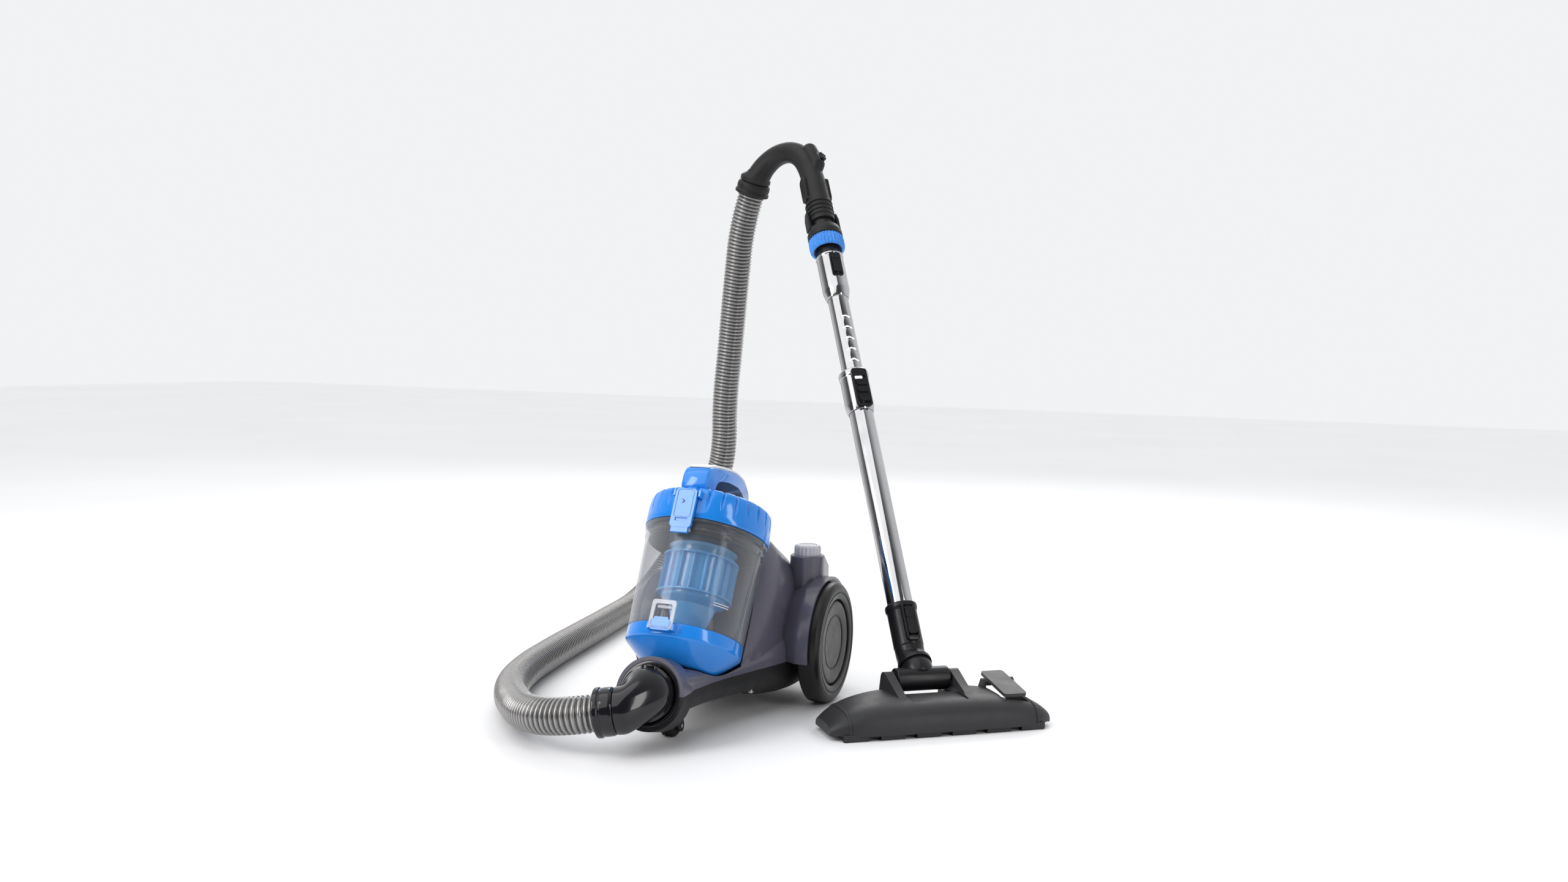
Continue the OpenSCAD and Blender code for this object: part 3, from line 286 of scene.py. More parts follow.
M["knob"] = knob_plastic()
M["clear"] = clear_plastic("clear_smoked", (0.30, 0.31, 0.34), 0.1)
M["clear_blue"] = clear_plastic("clear_blue", (0.12, 0.50, 0.95), 0.62)
M["clear_frame"] = clear_plastic("clear_bail", (0.55, 0.57, 0.62), 0.35)
M["chrome"] = chrome("chrome_tube", (math.radians(33.8), 0, math.radians(-38)))
M["steel"] = turned_metal("turned_steel", (0.56, 0.56, 0.57), 0.28)
M["copper"] = windings()
M["hose"] = hose_plastic()
M["paper"] = paper()
M["blue_tufts"] = tufts("blue_tufts", (0.01, 0.16, 0.55), (0.03, 0.32, 0.95))
M["black_tufts"] = tufts("black_tufts", (0.01, 0.01, 0.01), (0.05, 0.05, 0.05))


# Mesh helpers -------------------------------------------------------------------------------
def finish_mesh(mesh, angle):
    work = bmesh.new()
    work.from_mesh(mesh)
    bmesh.ops.remove_doubles(work, verts=work.verts, dist=1e-7)
    bmesh.ops.recalc_face_normals(work, faces=work.faces)
    work.to_mesh(mesh)
    work.free()
    mesh.polygons.foreach_set("use_smooth", [True] * len(mesh.polygons))
    mesh.set_sharp_from_angle(angle=math.radians(angle))


def piece(name, verts, faces, place, mat, angle=35):
    mesh = bpy.data.meshes.new(name)
    mesh.from_pydata([place @ Vector(v) for v in verts], [], faces)
    finish_mesh(mesh, angle)
    mesh.materials.append(mat)
    return placed(name, mesh)


def settle(made, body, *nodes, slot=None):
    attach(made, body)
    if nodes:
        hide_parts(*nodes)
    return made


def fit(name, data, place, mat, body, *nodes, slot="black_plastic", angle=35, bevel=0.0, segments=3):
    """One visible piece of a body, from mesh data in millimetres."""
    made = piece(name, *data, place, mat, angle)
    if bevel:
        soften(made, bevel, segments)
    return settle(made, body, *nodes, slot=slot)


def turned(name, profile, place, mat, body, *nodes, slot="black_plastic", **shape):
    """One visible lathe-turned piece of a body."""
    return settle(lathe(name, profile, place, mat, **shape), body, *nodes, slot=slot)


def circle(n):
    return [(math.cos(2 * math.pi * k / n), math.sin(2 * math.pi * k / n)) for k in range(n)]


def skin(rings, caps=True):
    n = len(rings[0])
    m = len(rings)
    verts = [p for ring in rings for p in ring]
    faces = []
    for i in range(m - 1):
        for j in range(n):
            k = (j + 1) % n
            faces.append((i * n + j, i * n + k, (i + 1) * n + k, (i + 1) * n + j))
    if caps:
        faces.append(tuple(range(n - 1, -1, -1)))
        faces.append(tuple((m - 1) * n + j for j in range(n)))
    return verts, faces


def lathe_data(profile, n=96, radius=None):
    """Profile of (r, z), closed on itself or starting and ending on the axis."""
    rings = []
    for r, z in profile:
        sizes = [r if radius is None else radius(r, z, 2 * math.pi * j / n) for j in range(n)]
        rings.append([(q * c, q * s, z) for q, (c, s) in zip(sizes, circle(n))])
    loop = profile[0][0] > 0.01 and profile[-1][0] > 0.01
    if loop:
        rings.append(rings[0])
    return skin(rings, False)


def rounded(profile, r=1.0, steps=3, loop=True):
    """Rounds the corners of a profile."""
    out = []
    n = len(profile)
    for i, p in enumerate(profile):
        if not loop and i in (0, n - 1):
            out.append(p)
            continue
        a = Vector(profile[i - 1])
        b = Vector(p)
        c = Vector(profile[(i + 1) % n])
        d1 = a - b
        d2 = c - b
        cut = min(r, d1.length * 0.45, d2.length * 0.45)
        if cut < 0.02 or d1.angle(d2, math.pi) > math.radians(172):
            out.append(p)
            continue
        s = b + d1.normalized() * cut
        e = b + d2.normalized() * cut
        for k in range(steps + 1):
            t = k / steps
            q = s * (1 - t) ** 2 + b * 2 * t * (1 - t) + e * t * t
            out.append((q.x, q.y))
    return out


def lathe(name, profile, place, mat, n=96, r=0.0, radius=None, angle=35):
    axis = profile[0][0] < 0.01
    if r:
        profile = rounded(profile, r, 3, not axis)
    verts, faces = lathe_data(profile, n, radius)
    return piece(name, verts, faces, place, mat, angle)


def block_data(x0, y0, z0, x1, y1, z1):
    v = [(x, y, z) for x in (x0, x1) for y in (y0, y1) for z in (z0, z1)]
    f = [(0, 1, 3, 2), (4, 6, 7, 5), (0, 4, 5, 1), (2, 3, 7, 6), (0, 2, 6, 4), (1, 5, 7, 3)]
    return v, f


def stack_data(profile, n=96):
    """Discs of (r, z) stacked into one closed drum."""
    return skin([[(r * c, r * s, z) for c, s in circle(n)] for r, z in profile])


def drum_data(r1, r2, z0, z1, n=64):
    return stack_data(((r1, z0), (r2, z1)), n)


def moved(data, m):
    return [tuple(m @ Vector(v)) for v in data[0]], data[1]


def bar(x0, x1, y, z, r, n=64):
    """A round bar along X."""
    return moved(drum_data(r, r, x0, x1, n), T(0, y, z) @ R(90, "Y"))


def hull_data(*sets):
    work = bmesh.new()
    for v in [p for s in sets for p in s[0]]:
        work.verts.new(v)
    bmesh.ops.convex_hull(work, input=work.verts)
    loose = [v for v in work.verts if not v.link_faces]
    bmesh.ops.delete(work, geom=loose, context="VERTS")
    bmesh.ops.dissolve_limit(work, angle_limit=0.01, verts=work.verts, edges=work.edges)
    work.verts.index_update()
    out = [tuple(v.co) for v in work.verts], [tuple(v.index for v in f.verts) for f in work.faces]
    work.free()
    return out


def raw(data):
    mesh = bpy.data.meshes.new("raw")
    mesh.from_pydata(data[0], [], data[1])
    work = bmesh.new()
    work.from_mesh(mesh)
    bmesh.ops.remove_doubles(work, verts=work.verts, dist=1e-5)
    bmesh.ops.recalc_face_normals(work, faces=work.faces)
    bmesh.ops.triangulate(work, faces=[f for f in work.faces if len(f.verts) > 4])
    work.to_mesh(mesh)
    work.free()
    return placed("raw", mesh)


def combine(base, steps):
    """Joins and cuts closed meshes, in millimetres; returns (verts, faces)."""
    target = raw(base)
    tools = []
    for kind, data in steps:
        tool = raw(data)
        tools.append(tool)
        mod = target.modifiers.new("step", "BOOLEAN")
        mod.operation = kind
        mod.solver = "EXACT"
        mod.object = tool
    graph = bpy.context.evaluated_depsgraph_get()
    graph.update()
    mesh = target.evaluated_get(graph).to_mesh()
    out = [tuple(v.co) for v in mesh.vertices], [tuple(p.vertices) for p in mesh.polygons]
    for o in [target] + tools:
        old = o.data
        bpy.data.objects.remove(o)
        bpy.data.meshes.remove(old)
    return out


def soften(made, width, segments=3, angle=30):
    mod = made.modifiers.new("edges", "BEVEL")
    mod.width = width
    mod.segments = segments
    mod.limit_method = "ANGLE"
    mod.angle_limit = math.radians(angle)
    mod.harden_normals = False
    return made


# Hose ---------------------------------------------------------------------------------------
ROUTE = [
    (-38, -105, 50), (-63, -112, 46), (-87, -113, 42), (-111, -109, 38.5), (-132, -98, 35.5),
    (-152, -84, 33), (-170, -66, 31), (-188, -44, 29), (-208, -19, 27), (-227, 9, 25.4), (-245, 40, 24),
    (-262, 77, 23), (-276, 118, 22.4), (-288, 165, 22.4), (-297, 214, 22.4), (-306, 267, 22.4),
    (-314, 323, 22.4), (-322, 380, 22.4), (-330, 437, 22.4), (-339, 495, 22.4), (-347, 552, 22.6),
    (-350, 598, 27), (-347, 641, 41), (-339, 678, 66), (-326, 705, 100), (-309, 721, 139),
    (-287, 727, 180), (-264, 726, 221), (-246, 721, 263), (-238, 714, 307), (-235, 707, 353),
    (-230, 700, 400), (-223, 694, 450), (-216, 687, 500), (-208, 677, 550), (-199, 666, 600),
    (-190, 655, 645), (-178, 646, 688), (-165, 640, 725),
]
HOSE_R = 22.0
RIB_DEPTH = 2.0


def through(points, per):
    """Points on a smooth curve through those given, in the plane or in space."""
    pts = [Vector(p) for p in points]
    out = []
    for i in range(len(pts) - 1):
        a, b = pts[i], pts[i + 1]
        m0 = (b - pts[i - 1]) / 2 if i else b - a
        m1 = (pts[i + 2] - a) / 2 if i + 2 < len(pts) else b - a
        for k in range(per):
            t = k / per
            out.append(a * (2 * t ** 3 - 3 * t * t + 1) + m0 * (t ** 3 - 2 * t * t + t)
                       + b * (3 * t * t - 2 * t ** 3) + m1 * (t ** 3 - t * t))
    out.append(pts[-1])
    return out


def smooth_route(points, step):
    """Even steps along a smooth curve through the points, and the length of the curve."""
    dense = through(points, 24)
    marks = [0.0]
    for a, b in zip(dense, dense[1:]):
        marks.append(marks[-1] + (b - a).length)
    count = round(marks[-1] / step)
    out = []
    j = 0
    for i in range(count + 1):
        s = marks[-1] * i / count
        while j < len(marks) - 2 and marks[j + 1] < s:
            j += 1
        t = (s - marks[j]) / (marks[j + 1] - marks[j])
        out.append(dense[j].lerp(dense[j + 1], min(1.0, t)))
    return out, marks[-1]


def heading(points, i):
    """Direction of a line of points at one of them."""
    a = Vector(points[max(i - 1, 0)])
    b = Vector(points[min(i + 1, len(points) - 1)])
    return (b - a).normalized()


def sweep(points, radii, n):
    """Rings round a line, carried along without twist."""
    rings = []
    side = None
    for i, p in enumerate(points):
        h = heading(points, i)
        side = h.cross(Vector((0, 0, 1))) if side is None else side - h * side.dot(h)
        side.normalize()
        up = h.cross(side)
        rings.append([tuple(p + (side * c + up * s) * radii[i]) for c, s in circle(n)])
    return rings


def hose():
    pitch = 6.0
    per = 8
    line, length = smooth_route(ROUTE, pitch / per)
    shape = [0.0, 0.06, 0.5, 0.88, 1.0, 0.97, 0.72, 0.22]
    heights = [shape[i % per] for i in range(len(line))]
    n = 40
    rings = sweep(line, [HOSE_R - RIB_DEPTH * (1 - h) for h in heights], n)
    verts, faces = skin(rings)
    made = piece("hose_tube", verts, faces, MODEL, M["hose"], 180)
    if len(made.data.vertices) == len(verts):
        # Rib heights, which the hose material turns into painted shade in the valleys
        rib = made.data.attributes.new("rib", "FLOAT", "POINT")
        rib.data.foreach_set("value", [heights[i // n] for i in range(len(verts))])
    settle(made, "canister", "hose", slot="hose_grey")


hose()


# CAD nodes that keep their shape ---------------------------------------------------------------
def smooth_by_angle():
    g = bpy.data.node_groups.new("smooth_by_angle", "GeometryNodeTree")
    g.interface.new_socket("Geometry", in_out="INPUT", socket_type="NodeSocketGeometry")
    g.interface.new_socket("Geometry", in_out="OUTPUT", socket_type="NodeSocketGeometry")
    start = g.nodes.new("NodeGroupInput")
    end = g.nodes.new("NodeGroupOutput")
    weld = g.nodes.new("GeometryNodeMergeByDistance")
    weld.inputs["Distance"].default_value = 1e-6
    edge_angle = g.nodes.new("GeometryNodeInputMeshEdgeAngle")
    below = g.nodes.new("FunctionNodeCompare")
    below.data_type = "FLOAT"
    below.operation = "LESS_THAN"
    below.inputs[1].default_value = math.radians(33)
    edges = g.nodes.new("GeometryNodeSetShadeSmooth")
    edges.domain = "EDGE"
    faces = g.nodes.new("GeometryNodeSetShadeSmooth")
    faces.domain = "FACE"
    g.links.new(start.outputs[0], weld.inputs["Geometry"])
    g.links.new(weld.outputs["Geometry"], edges.inputs["Geometry"])
    g.links.new(edge_angle.outputs["Unsigned Angle"], below.inputs[0])
    g.links.new(below.outputs["Result"], edges.inputs["Shade Smooth"])
    g.links.new(edges.outputs["Geometry"], faces.inputs["Geometry"])
    g.links.new(faces.outputs["Geometry"], end.inputs[0])
    return g


SMOOTH = smooth_by_angle()


def dress(node, mat):
    o = NODES[node]
    if not o.data.materials:
        o.data.materials.append(mat)
    for s in o.material_slots:
        s.link = "OBJECT"
        s.material = mat
    mod = o.modifiers.new("smooth", "NODES")
    mod.node_group = SMOOTH


FINISHES = {
    "black": [
        "lower_housing", "inlet_duct", "exhaust_frame", "cord_outlet", "cord_drum", "power_switch",
        "caster_fork", "filter_frame", "head_sole"],
    "satin": [
        "inlet_collar", "connector_button", "socket_button", "telescope_button", "neck_button",
        "air_slide", "yoke", "elbow", "neck_connector"],
    "pale": ["motor_bucket", "brake_lever", "head_rollers"],
    "slate": ["upper_housing", "exhaust_cover"],
    "steel": ["motor_stator", "impeller", "housing_screws", "wheel_axles", "caster_axle"],
    "copper": ["motor_rotor"],
    "paper": ["filter_pleats", "exhaust_pleats"],
    "rubber": ["lid_seal", "caster_wheel"],
    "blue": ["bottom_door", "door_latch", "lid_latch", "cup_lid"],
    "clear_blue": ["cyclone_shroud"],
    "clear": ["cup_body"],
    "knob": ["power_button", "rewind_button"],
    "grained": ["handle_shell", "brush_collar", "handle_cuff"],
    "gloss": ["hose_connector", "front_cuff"],
    "chrome": ["upper_tube", "lower_tube", "telescope_collar", "wand_socket"],
    "white": ["handle_skin"],
    "blue_tufts": ["brush_bristles"],
    "black_tufts": ["brush_strips"],
    "head": ["head_shell", "head_pedal"],
    "rim": ["left_wheel", "right_wheel", "left_hubcap", "right_hubcap"],
}
for finish, nodes in FINISHES.items():
    for name in nodes:
        dress(name, M[finish])


# Canister housing -------------------------------------------------------------------------------
def curve(keys, x):
    i = 0
    while i < len(keys) - 2 and x >= keys[i + 1][0]:
        i += 1

    def rise(k):
        a, b = max(k - 1, 0), min(k + 1, len(keys) - 1)
        return (keys[b][1] - keys[a][1]) / (keys[b][0] - keys[a][0])

    h = keys[i + 1][0] - keys[i][0]
    t = (x - keys[i][0]) / h
    return (keys[i][1] * (1 + 2 * t) * (1 - t) ** 2 + rise(i) * h * t * (1 - t) ** 2
            + keys[i + 1][1] * t * t * (3 - 2 * t) + rise(i + 1) * h * t * t * (t - 1))


def power(v, n):
    return math.copysign(abs(v) ** n, v)


# Height of the seam between the housings, the drive wheels and the seats of the two knobs
SEAM = 66.0
AXLE_Y, AXLE_Z, WHEEL_R, WHEEL_IN = 236.0, 80.0, 80.0, 102.0
FENDER_R = WHEEL_R + 6.8
KNOB_X, KNOB_Y, KNOB_Z = 86, 240, 185
INLET = T(0, -60.6, 65.3) @ R(75, "X")
PORT = MODEL @ INLET
# Half widths and heights of the housing from front to back
WIDTH = [(-50, 40), (-20, 42), (30, 50), (90, 68), (150, 87), (200, 97), (260, 98), (305, 90), (332, 66)]
DECK = [(-50, 92), (-10, 88), (40, 84), (110, 92), (180, 108), (250, 112), (332, 84)]
# Half widths and heights of the tower behind the cup
TOWER_W = [(66, 58), (110, 72), (160, 81), (220, 83), (275, 76), (318, 52)]
TOWER_Z = [(66, 112), (110, 164), (150, 213), (182, 231), (210, 219), (255, 196), (295, 172), (318, 140)]


def arch(y, w, z1, p, n=44):
    """An arch over the seam, half width w and z1 high, its foot 2 mm below the seam."""
    ring = [(-w, y, SEAM - 2)]
    for i in range(n, -1, -1):
        a = math.pi * i / n
        ring.append((w * power(math.cos(a), 2 / p), y, SEAM + (z1 - SEAM) * power(math.sin(a), 2 / p)))
    ring.append((w, y, SEAM - 2))
    return ring


def shell_data(y0, y1, widths, heights, p, n=64):
    stations = [y0 + (y1 - y0) * i / n for i in range(n + 1)]
    return skin([arch(y, curve(widths, y), curve(heights, y), p) for y in stations])


def upper_housing():
    cup = T(0, 39.5, 112) @ R(-27, "X")
    ring = block_data(-60, -120, SEAM, 60, 0, 146)
    over_wheels = block_data(-200, 120, SEAM - 1, 200, 292, 300)
    steps = []

    def add(data, place=Matrix()):
        steps.append((ADD, moved(data, place)))

    def cut(data, place=Matrix()):
        steps.append((CUT, moved(data, place)))

    add(shell_data(66, 318, TOWER_W, TOWER_Z, 3.0))
    for s in (-1, 1):
        hub = T(s * 60, AXLE_Y, AXLE_Z) @ R(s * 90, "Y")
        flare = moved(stack_data([(62, 0), (68, 12), (74, 23), (80, 33), (84, 39), (86, 42), (FENDER_R, 46),
            (FENDER_R, 59.5)], 128), hub)
        add(combine(flare, [("INTERSECT", over_wheels)]))
        pedestal = [moved(drum_data(r, r, z0, z1), T(s * KNOB_X, KNOB_Y + back, 0))
                    for r, z0, z1, back in ((23, 150, 192.6, 0), (22, 193.8, 194, 0), (20, 140, 176, 28))]
        add(hull_data(*pedestal))
    add(combine(moved(drum_data(43.5, 43.5, -27, 0, 96), INLET), [("INTERSECT", ring)]))
    # Room for the dust cup and the inlet collar
    for r1, r2, z0, z1 in ((44, 76, -46, -18), (76, 80, -18.01, 124), (83.5, 83.5, 122, 322)):
        cut(drum_data(r1, r2, z0, z1, 96), cup)
    cut(block_data(-17, 40, 108, 17, 90.5, 308), cup)
    cut(drum_data(38.6, 38.6, -28.2, 40, 96), INLET)
    # Wheel wells, knob seats and axle bosses
    for s in (-1, 1):
        well = T(s * (WHEEL_IN - 1.5), AXLE_Y, AXLE_Z) @ R(s * 90, "Y")
        cut(drum_data(WHEEL_R + 3, WHEEL_R + 3, 0, 60, 96), well)
        cut(drum_data(18.5, 18.5, 122, 230), T(s * KNOB_X, KNOB_Y, 0))
        cut(drum_data(12.3, 12.3, 0, 42), T(s * 60, AXLE_Y, AXLE_Z) @ R(s * 90, "Y"))
    # Exhaust window, cord outlet and its recess, the duct's port, and the seam
    cut(block_data(-52, 290, 78, 52, 350, 140))
    for r, y0, y1 in ((9.2, 270, 345), (11.9, 324.5, 330)):
        cut(drum_data(r, r, y0, y1), T(-74, 0, 84) @ R(-90, "X"))
    cut(drum_data(12.5, 12.5, 0, 28), cup @ T(0, 60, 84) @ R(-90, "X"))
    cut(block_data(-200, -200, 0, 200, 500, SEAM))
    fit("housing_upper", combine(shell_data(-50, 332, WIDTH, DECK, 3.6), steps), MODEL, M["slate"],
        "canister", "upper_housing", slot="slate_plastic", angle=28)


upper_housing()


# Wheels -------------------------------------------------------------------------------------
def wheel(side, body):
    place = MODEL @ T(0, AXLE_Y, AXLE_Z) @ R(side * 90, "Y") @ T(0, 0, WHEEL_IN)
    w = 30.0
    r = WHEEL_R
    tyre = [(5.05, 3), (14, 0.2), (14, 11), (52, 11), (58, 2), (r - 4, 0.2), (r - 0.6, 2.4), (r, 5),
        (r, w - 9), (r - 1.2, w - 4.5), (r - 4.6, w - 1.4), (r - 9, w - 0.2), (r - 12.6, w - 0.3),
        (r - 13.1, w - 1.7), (r - 14.1, w - 1.7), (r - 14.6, w - 0.5), (r - 20.4, w - 1.6),
        (r - 22.6, w - 2.6), (r - 23.4, w - 8.2), (14, w - 8.2), (14, w - 12), (5.05, w - 12)]
    turned(body + "_tyre", tyre, place, M["rim"], body, SIDE[side] + "_wheel", slot="tyre_plastic", n=144,
        r=0.7)
    disc = [(0.0, w - 5.6), (16, w - 5.6), (30, w - 5.5), (34, w - 5.3), (35.0, w - 6.3), (36.0, w - 6.3),
        (37.0, w - 4.8), (46, w - 3.7), (51, w - 3.3), (53.4, w - 3.6), (54.8, w - 4.6), (55.4, w - 6.4),
        (55.4, w - 8), (0.0, w - 8)]
    turned(body + "_disc", disc, place, M["rim"], body, SIDE[side] + "_hubcap", slot="tyre_plastic", n=144,
        r=0.6)


wheel(-1, "left_drive")
wheel(1, "right_drive")


# Knobs on the pedestals -----------------------------------------------------------------------
def knob(side, node, body):
    def ribbed(r, z, a):
        if r < 13 or z < 6:
            return r
        lobe = 0.5 + 0.5 * math.cos(a * 20)
        return r - 0.9 * (1 - lobe ** 0.6)

    profile = [(0, -12), (3, -12), (3, 0), (18, 0), (18, 4), (18, 9), (18, 18.4), (17.4, 20.8),
        (15.8, 22.4), (14.2, 23.0), (12.9, 22.6), (12.4, 22.1), (6, 22.0), (0, 22.0)]
    turned(body + "_knob", profile, MODEL @ T(side * KNOB_X, KNOB_Y, KNOB_Z), M["knob"], body, node,
        slot="pale_plastic", n=240, radius=ribbed, r=0.8, angle=40)


knob(1, "power_button", "power_key")
knob(-1, "rewind_button", "rewind_key")


# Dust cup -----------------------------------------------------------------------------------
# Radii of the cup at its foot, its top and its flange, and of the lid; then the lid's and the cup's height
CUP_R, CUP_TOP, FLANGE, LID_R, LID_H, CUP_H = 72.0, 75.0, 78.0, 79.0, 41.0, 130.0
LID_TOP = CUP_H + LID_H


def blue(name, data, body, *nodes, **look):
    """One blue piece of the dust cup."""
    return fit(name, data, CUP, M["blue"], body, *nodes, slot="blue_plastic", **look)


def cup():
    outer = [(CUP_R - 2.2, 0.3), (CUP_R, 0.3), (CUP_R + 0.6, 24), (CUP_TOP - 0.6, 88), (CUP_TOP, 106),
        (CUP_TOP + 0.2, 110), (FLANGE - 1.6, 112.5), (FLANGE - 1.2, 116.6), (CUP_TOP + 0.9, 118.4),
        (CUP_TOP + 1.1, 120.4), (FLANGE - 0.4, 122.6), (FLANGE, 124.6), (FLANGE, 129.4),
        (CUP_TOP - 5, 129.5), (CUP_TOP - 3, 122), (CUP_TOP - 3, 106), (CUP_R - 1.6, 24)]
    turned("cup_wall", outer, CUP, M["clear"], "dust_cup", "cup_body", slot="clear_plastic", n=144, r=0.7)
    for s in (-1, 1):
        fit("lid_post_" + SIDE[s], block_data(s * 9 - 4, FLANGE - 2, 118, s * 9 + 4, FLANGE + 7.5, 170),
            CUP, M["clear_frame"], "dust_cup", slot="clear_plastic", bevel=0.0009)
        fit("door_knuckle_" + SIDE[s], block_data(s * 14 - 4, CUP_R - 2, -5, s * 14 + 4, CUP_R + 2, 7), CUP,
            M["clear_frame"], "dust_cup", slot="clear_plastic", bevel=0.0006)
    fit("lid_keeper", block_data(-10.5, -80.3, 112, 10.5, -73, 116), CUP, M["clear_frame"], "dust_cup",
        slot="clear_plastic", bevel=0.0008)
    fit("door_keeper", block_data(-9.5, -77.2, 14, 9.5, -72, 18), CUP, M["clear_frame"], "dust_cup",
        slot="clear_plastic", bevel=0.0008)
    # Fill lines on the right-hand front of the cup
    mid, span, n = -38, 17, 14
    for name, z in (("fill_line_top", 33.5), ("fill_line_low", 30.6)):
        r = CUP_R + 0.06 + 0.0094 * z + 0.18
        rings = []
        for i in range(n + 1):
            a = math.radians(mid - span / 2 + span * i / n)
            rings.append([((r + dr) * math.cos(a), (r + dr) * math.sin(a), z + dz)
                          for dr, dz in ((0, -0.55), (0.22, -0.55), (0.22, 0.55), (0, 0.55))])
        fit(name, skin(rings), CUP, M["white"], "dust_cup", slot="filter_white")


cup()


def cyclone():
    cone = [(16, 3.4), (19, 3.4), (29.5, 38), (39, 43.5), (41.4, 46), (41.8, 50), (41.8, 108), (44, 111.9),
        (40, 111.9), (39.2, 106), (39.2, 51), (37.4, 46), (27.8, 41)]
    turned("cyclone_cone", cone, CUP, M["clear_blue"], "dust_cup", "cyclone_shroud", slot="blue_plastic",
        r=0.8)
    turned("cyclone_ceiling", [(38, 112.1), (CUP_TOP - 4, 112.1), (CUP_TOP - 4, 114.9), (38, 114.9)], CUP,
        M["black"], "dust_cup", r=0.5)
    verts, faces = [], []
    for i in range(18):
        a = 360 * i / 18
        vane = moved(block_data(41.6, -0.8, 50, 47.4, 0.8, 98),
            R(a, "Z") @ T(41.6, 0, 0) @ R(24, "Z") @ T(-41.6, 0, 0))
        base = len(verts)
        verts += vane[0]
        faces += [tuple(base + k for k in f) for f in vane[1]]
    fit("cyclone_vanes", (verts, faces), CUP, M["clear_blue"], "dust_cup", slot="blue_plastic",
        bevel=0.0004, segments=2)
    r = 48.2
    for name, z in (("cyclone_ring_top", 97), ("cyclone_ring_low", 49)):
        turned(name, [(41.9, z), (r, z), (r, z + 2.4), (41.9, z + 2.4)], CUP, M["clear_blue"], "dust_cup",
            slot="blue_plastic", r=0.5)
    mesh_r = 38.6
    turned("cyclone_core", [(mesh_r - 1, 52), (mesh_r, 52), (mesh_r, 106), (mesh_r - 1, 106)], CUP,
        M["core"], "dust_cup")


cyclone()


def lid():
    flutes = 28

    def fluted(r, z, a):
        if r < LID_R - 9 or z < 14:
            return r
        k = (a / (2 * math.pi) * flutes) % 1.0
        d = abs(k - 0.5) * 2
        up = min(1.0, max(0.0, (z - 14) / (LID_H - 16)))
        half = 0.12 + 0.16 * up
        return r - 3.0 * up ** 0.7 * max(0.0, 1 - d / half) ** 0.8

    profile = [(0, LID_H - 2.8), (LID_R - 9, LID_H - 2.8), (LID_R - 5, 22), (LID_R - 4, 4),
        (LID_R - 3.2, 0.4), (LID_R - 0.5, 0.4), (LID_R, 1.2), (LID_R, 8), (LID_R, 14), (LID_R - 0.1, 17),
        (LID_R - 0.2, 20), (LID_R - 0.35, 23), (LID_R - 0.6, 26), (LID_R - 0.9, 29), (LID_R - 1.3, 32),
        (LID_R - 1.8, 34.6), (LID_R - 2.6, 37), (LID_R - 4.2, 39.2), (LID_R - 6.4, 40.5), (LID_R - 9, 41),
        (LID_R - 20, LID_H - 0.4), (LID_R - 24, LID_H - 1.2), (40, LID_H - 1.4), (0, LID_H - 1.4)]
    turned("lid_rim", profile, CUP @ T(0, 0, CUP_H), M["blue"], "lid", "cup_lid", slot="blue_plastic",
        n=flutes * 16, radius=fluted, angle=45)
    # Carry handle: a bowed arm with a finger opening, as a profile seen from the side
    outline = [(-72, 168), (-72, 189), (-66, 200), (-46, 208), (-14, 218), (20, 226), (48, 227), (68, 218),
        (74, 200), (74.5, 168), (62, 168), (62, 190), (52, 204), (30, 208.5), (-4, 202.5), (-32, 193),
        (-39, 187), (-41, 168)]
    side = rounded(rounded(outline, 9, 5), 2.0, 2)
    n = len(side)
    ring = []
    for x, inset in ((-17, 2.2), (-16.2, 0.8), (-14.6, 0.0), (14.6, 0.0), (16.2, 0.8), (17, 2.2)):
        row = []
        for i, (y, z) in enumerate(side):
            a = Vector(side[i - 1])
            b = Vector(side[(i + 1) % n])
            d = (b - a).normalized()
            row.append((x, y + d.y * inset, z - d.x * inset))
        ring.append(row)
    blue("carry_handle", skin(ring), "lid", angle=40)
    # Pale skin on top of the handle
    top = through([(-66, 200.6), (-46, 208.6), (-14, 218.6), (20, 226.6), (48, 227.4), (58, 223.8)], 6)
    rows = []
    for i, (y, z) in enumerate(top):
        d = heading(top, i)
        nrm = Vector((-d.y, d.x))
        k = min(1.0, 0.35 + 3.0 * min(i, len(top) - 1 - i) / len(top))
        half = 15.2 * (0.84 + 0.16 * k)
        section = []
        for x, h in ((-1, -0.8), (-1, 1.3), (-0.92, 2.2), (-0.5, 2.9), (0, 3.1), (0.5, 2.9), (0.92, 2.2),
                (1, 1.3), (1, -0.8)):
            h = h * k if h > 0 else h
            section.append((x * half, y + nrm.x * h, z + nrm.y * h))
        rows.append(section)
    fit("handle_top", skin(rows), CUP, M["white"], "lid", "handle_skin", slot="pale_plastic", angle=50)
    # Hinge barrel, pin and latch ears
    for name, data in (("lid_barrel", bar(-4.2, 4.2, LID_R + 2, LID_TOP - 4.5, 3, 40)),
                       ("lid_pin", bar(-12.5, 12.5, LID_R + 2, LID_TOP - 4.5, 1.5, 32))):
        blue(name, data, "lid")
    for s in (-1, 1):
        ear = block_data(s * 16.5 - 2, -LID_R - 5.4, LID_TOP - 17, s * 16.5 + 2, -LID_R + 3, LID_TOP - 8)
        blue("latch_ear_" + SIDE[s], ear, "lid", bevel=0.0009)


lid()


def rectangle(x0, y0, x1, y1, r, n):
    """Outline of a rectangle with rounded corners."""
    out = []
    corners = ((x1 - r, y1 - r), (x0 + r, y1 - r), (x0 + r, y0 + r), (x1 - r, y0 + r))
    for turn, (cx, cy) in enumerate(corners):
        for k in range(n + 1):
            a = math.radians(90 * turn + 90 * k / n)
            out.append((cx + r * math.cos(a), cy + r * math.sin(a)))
    return out


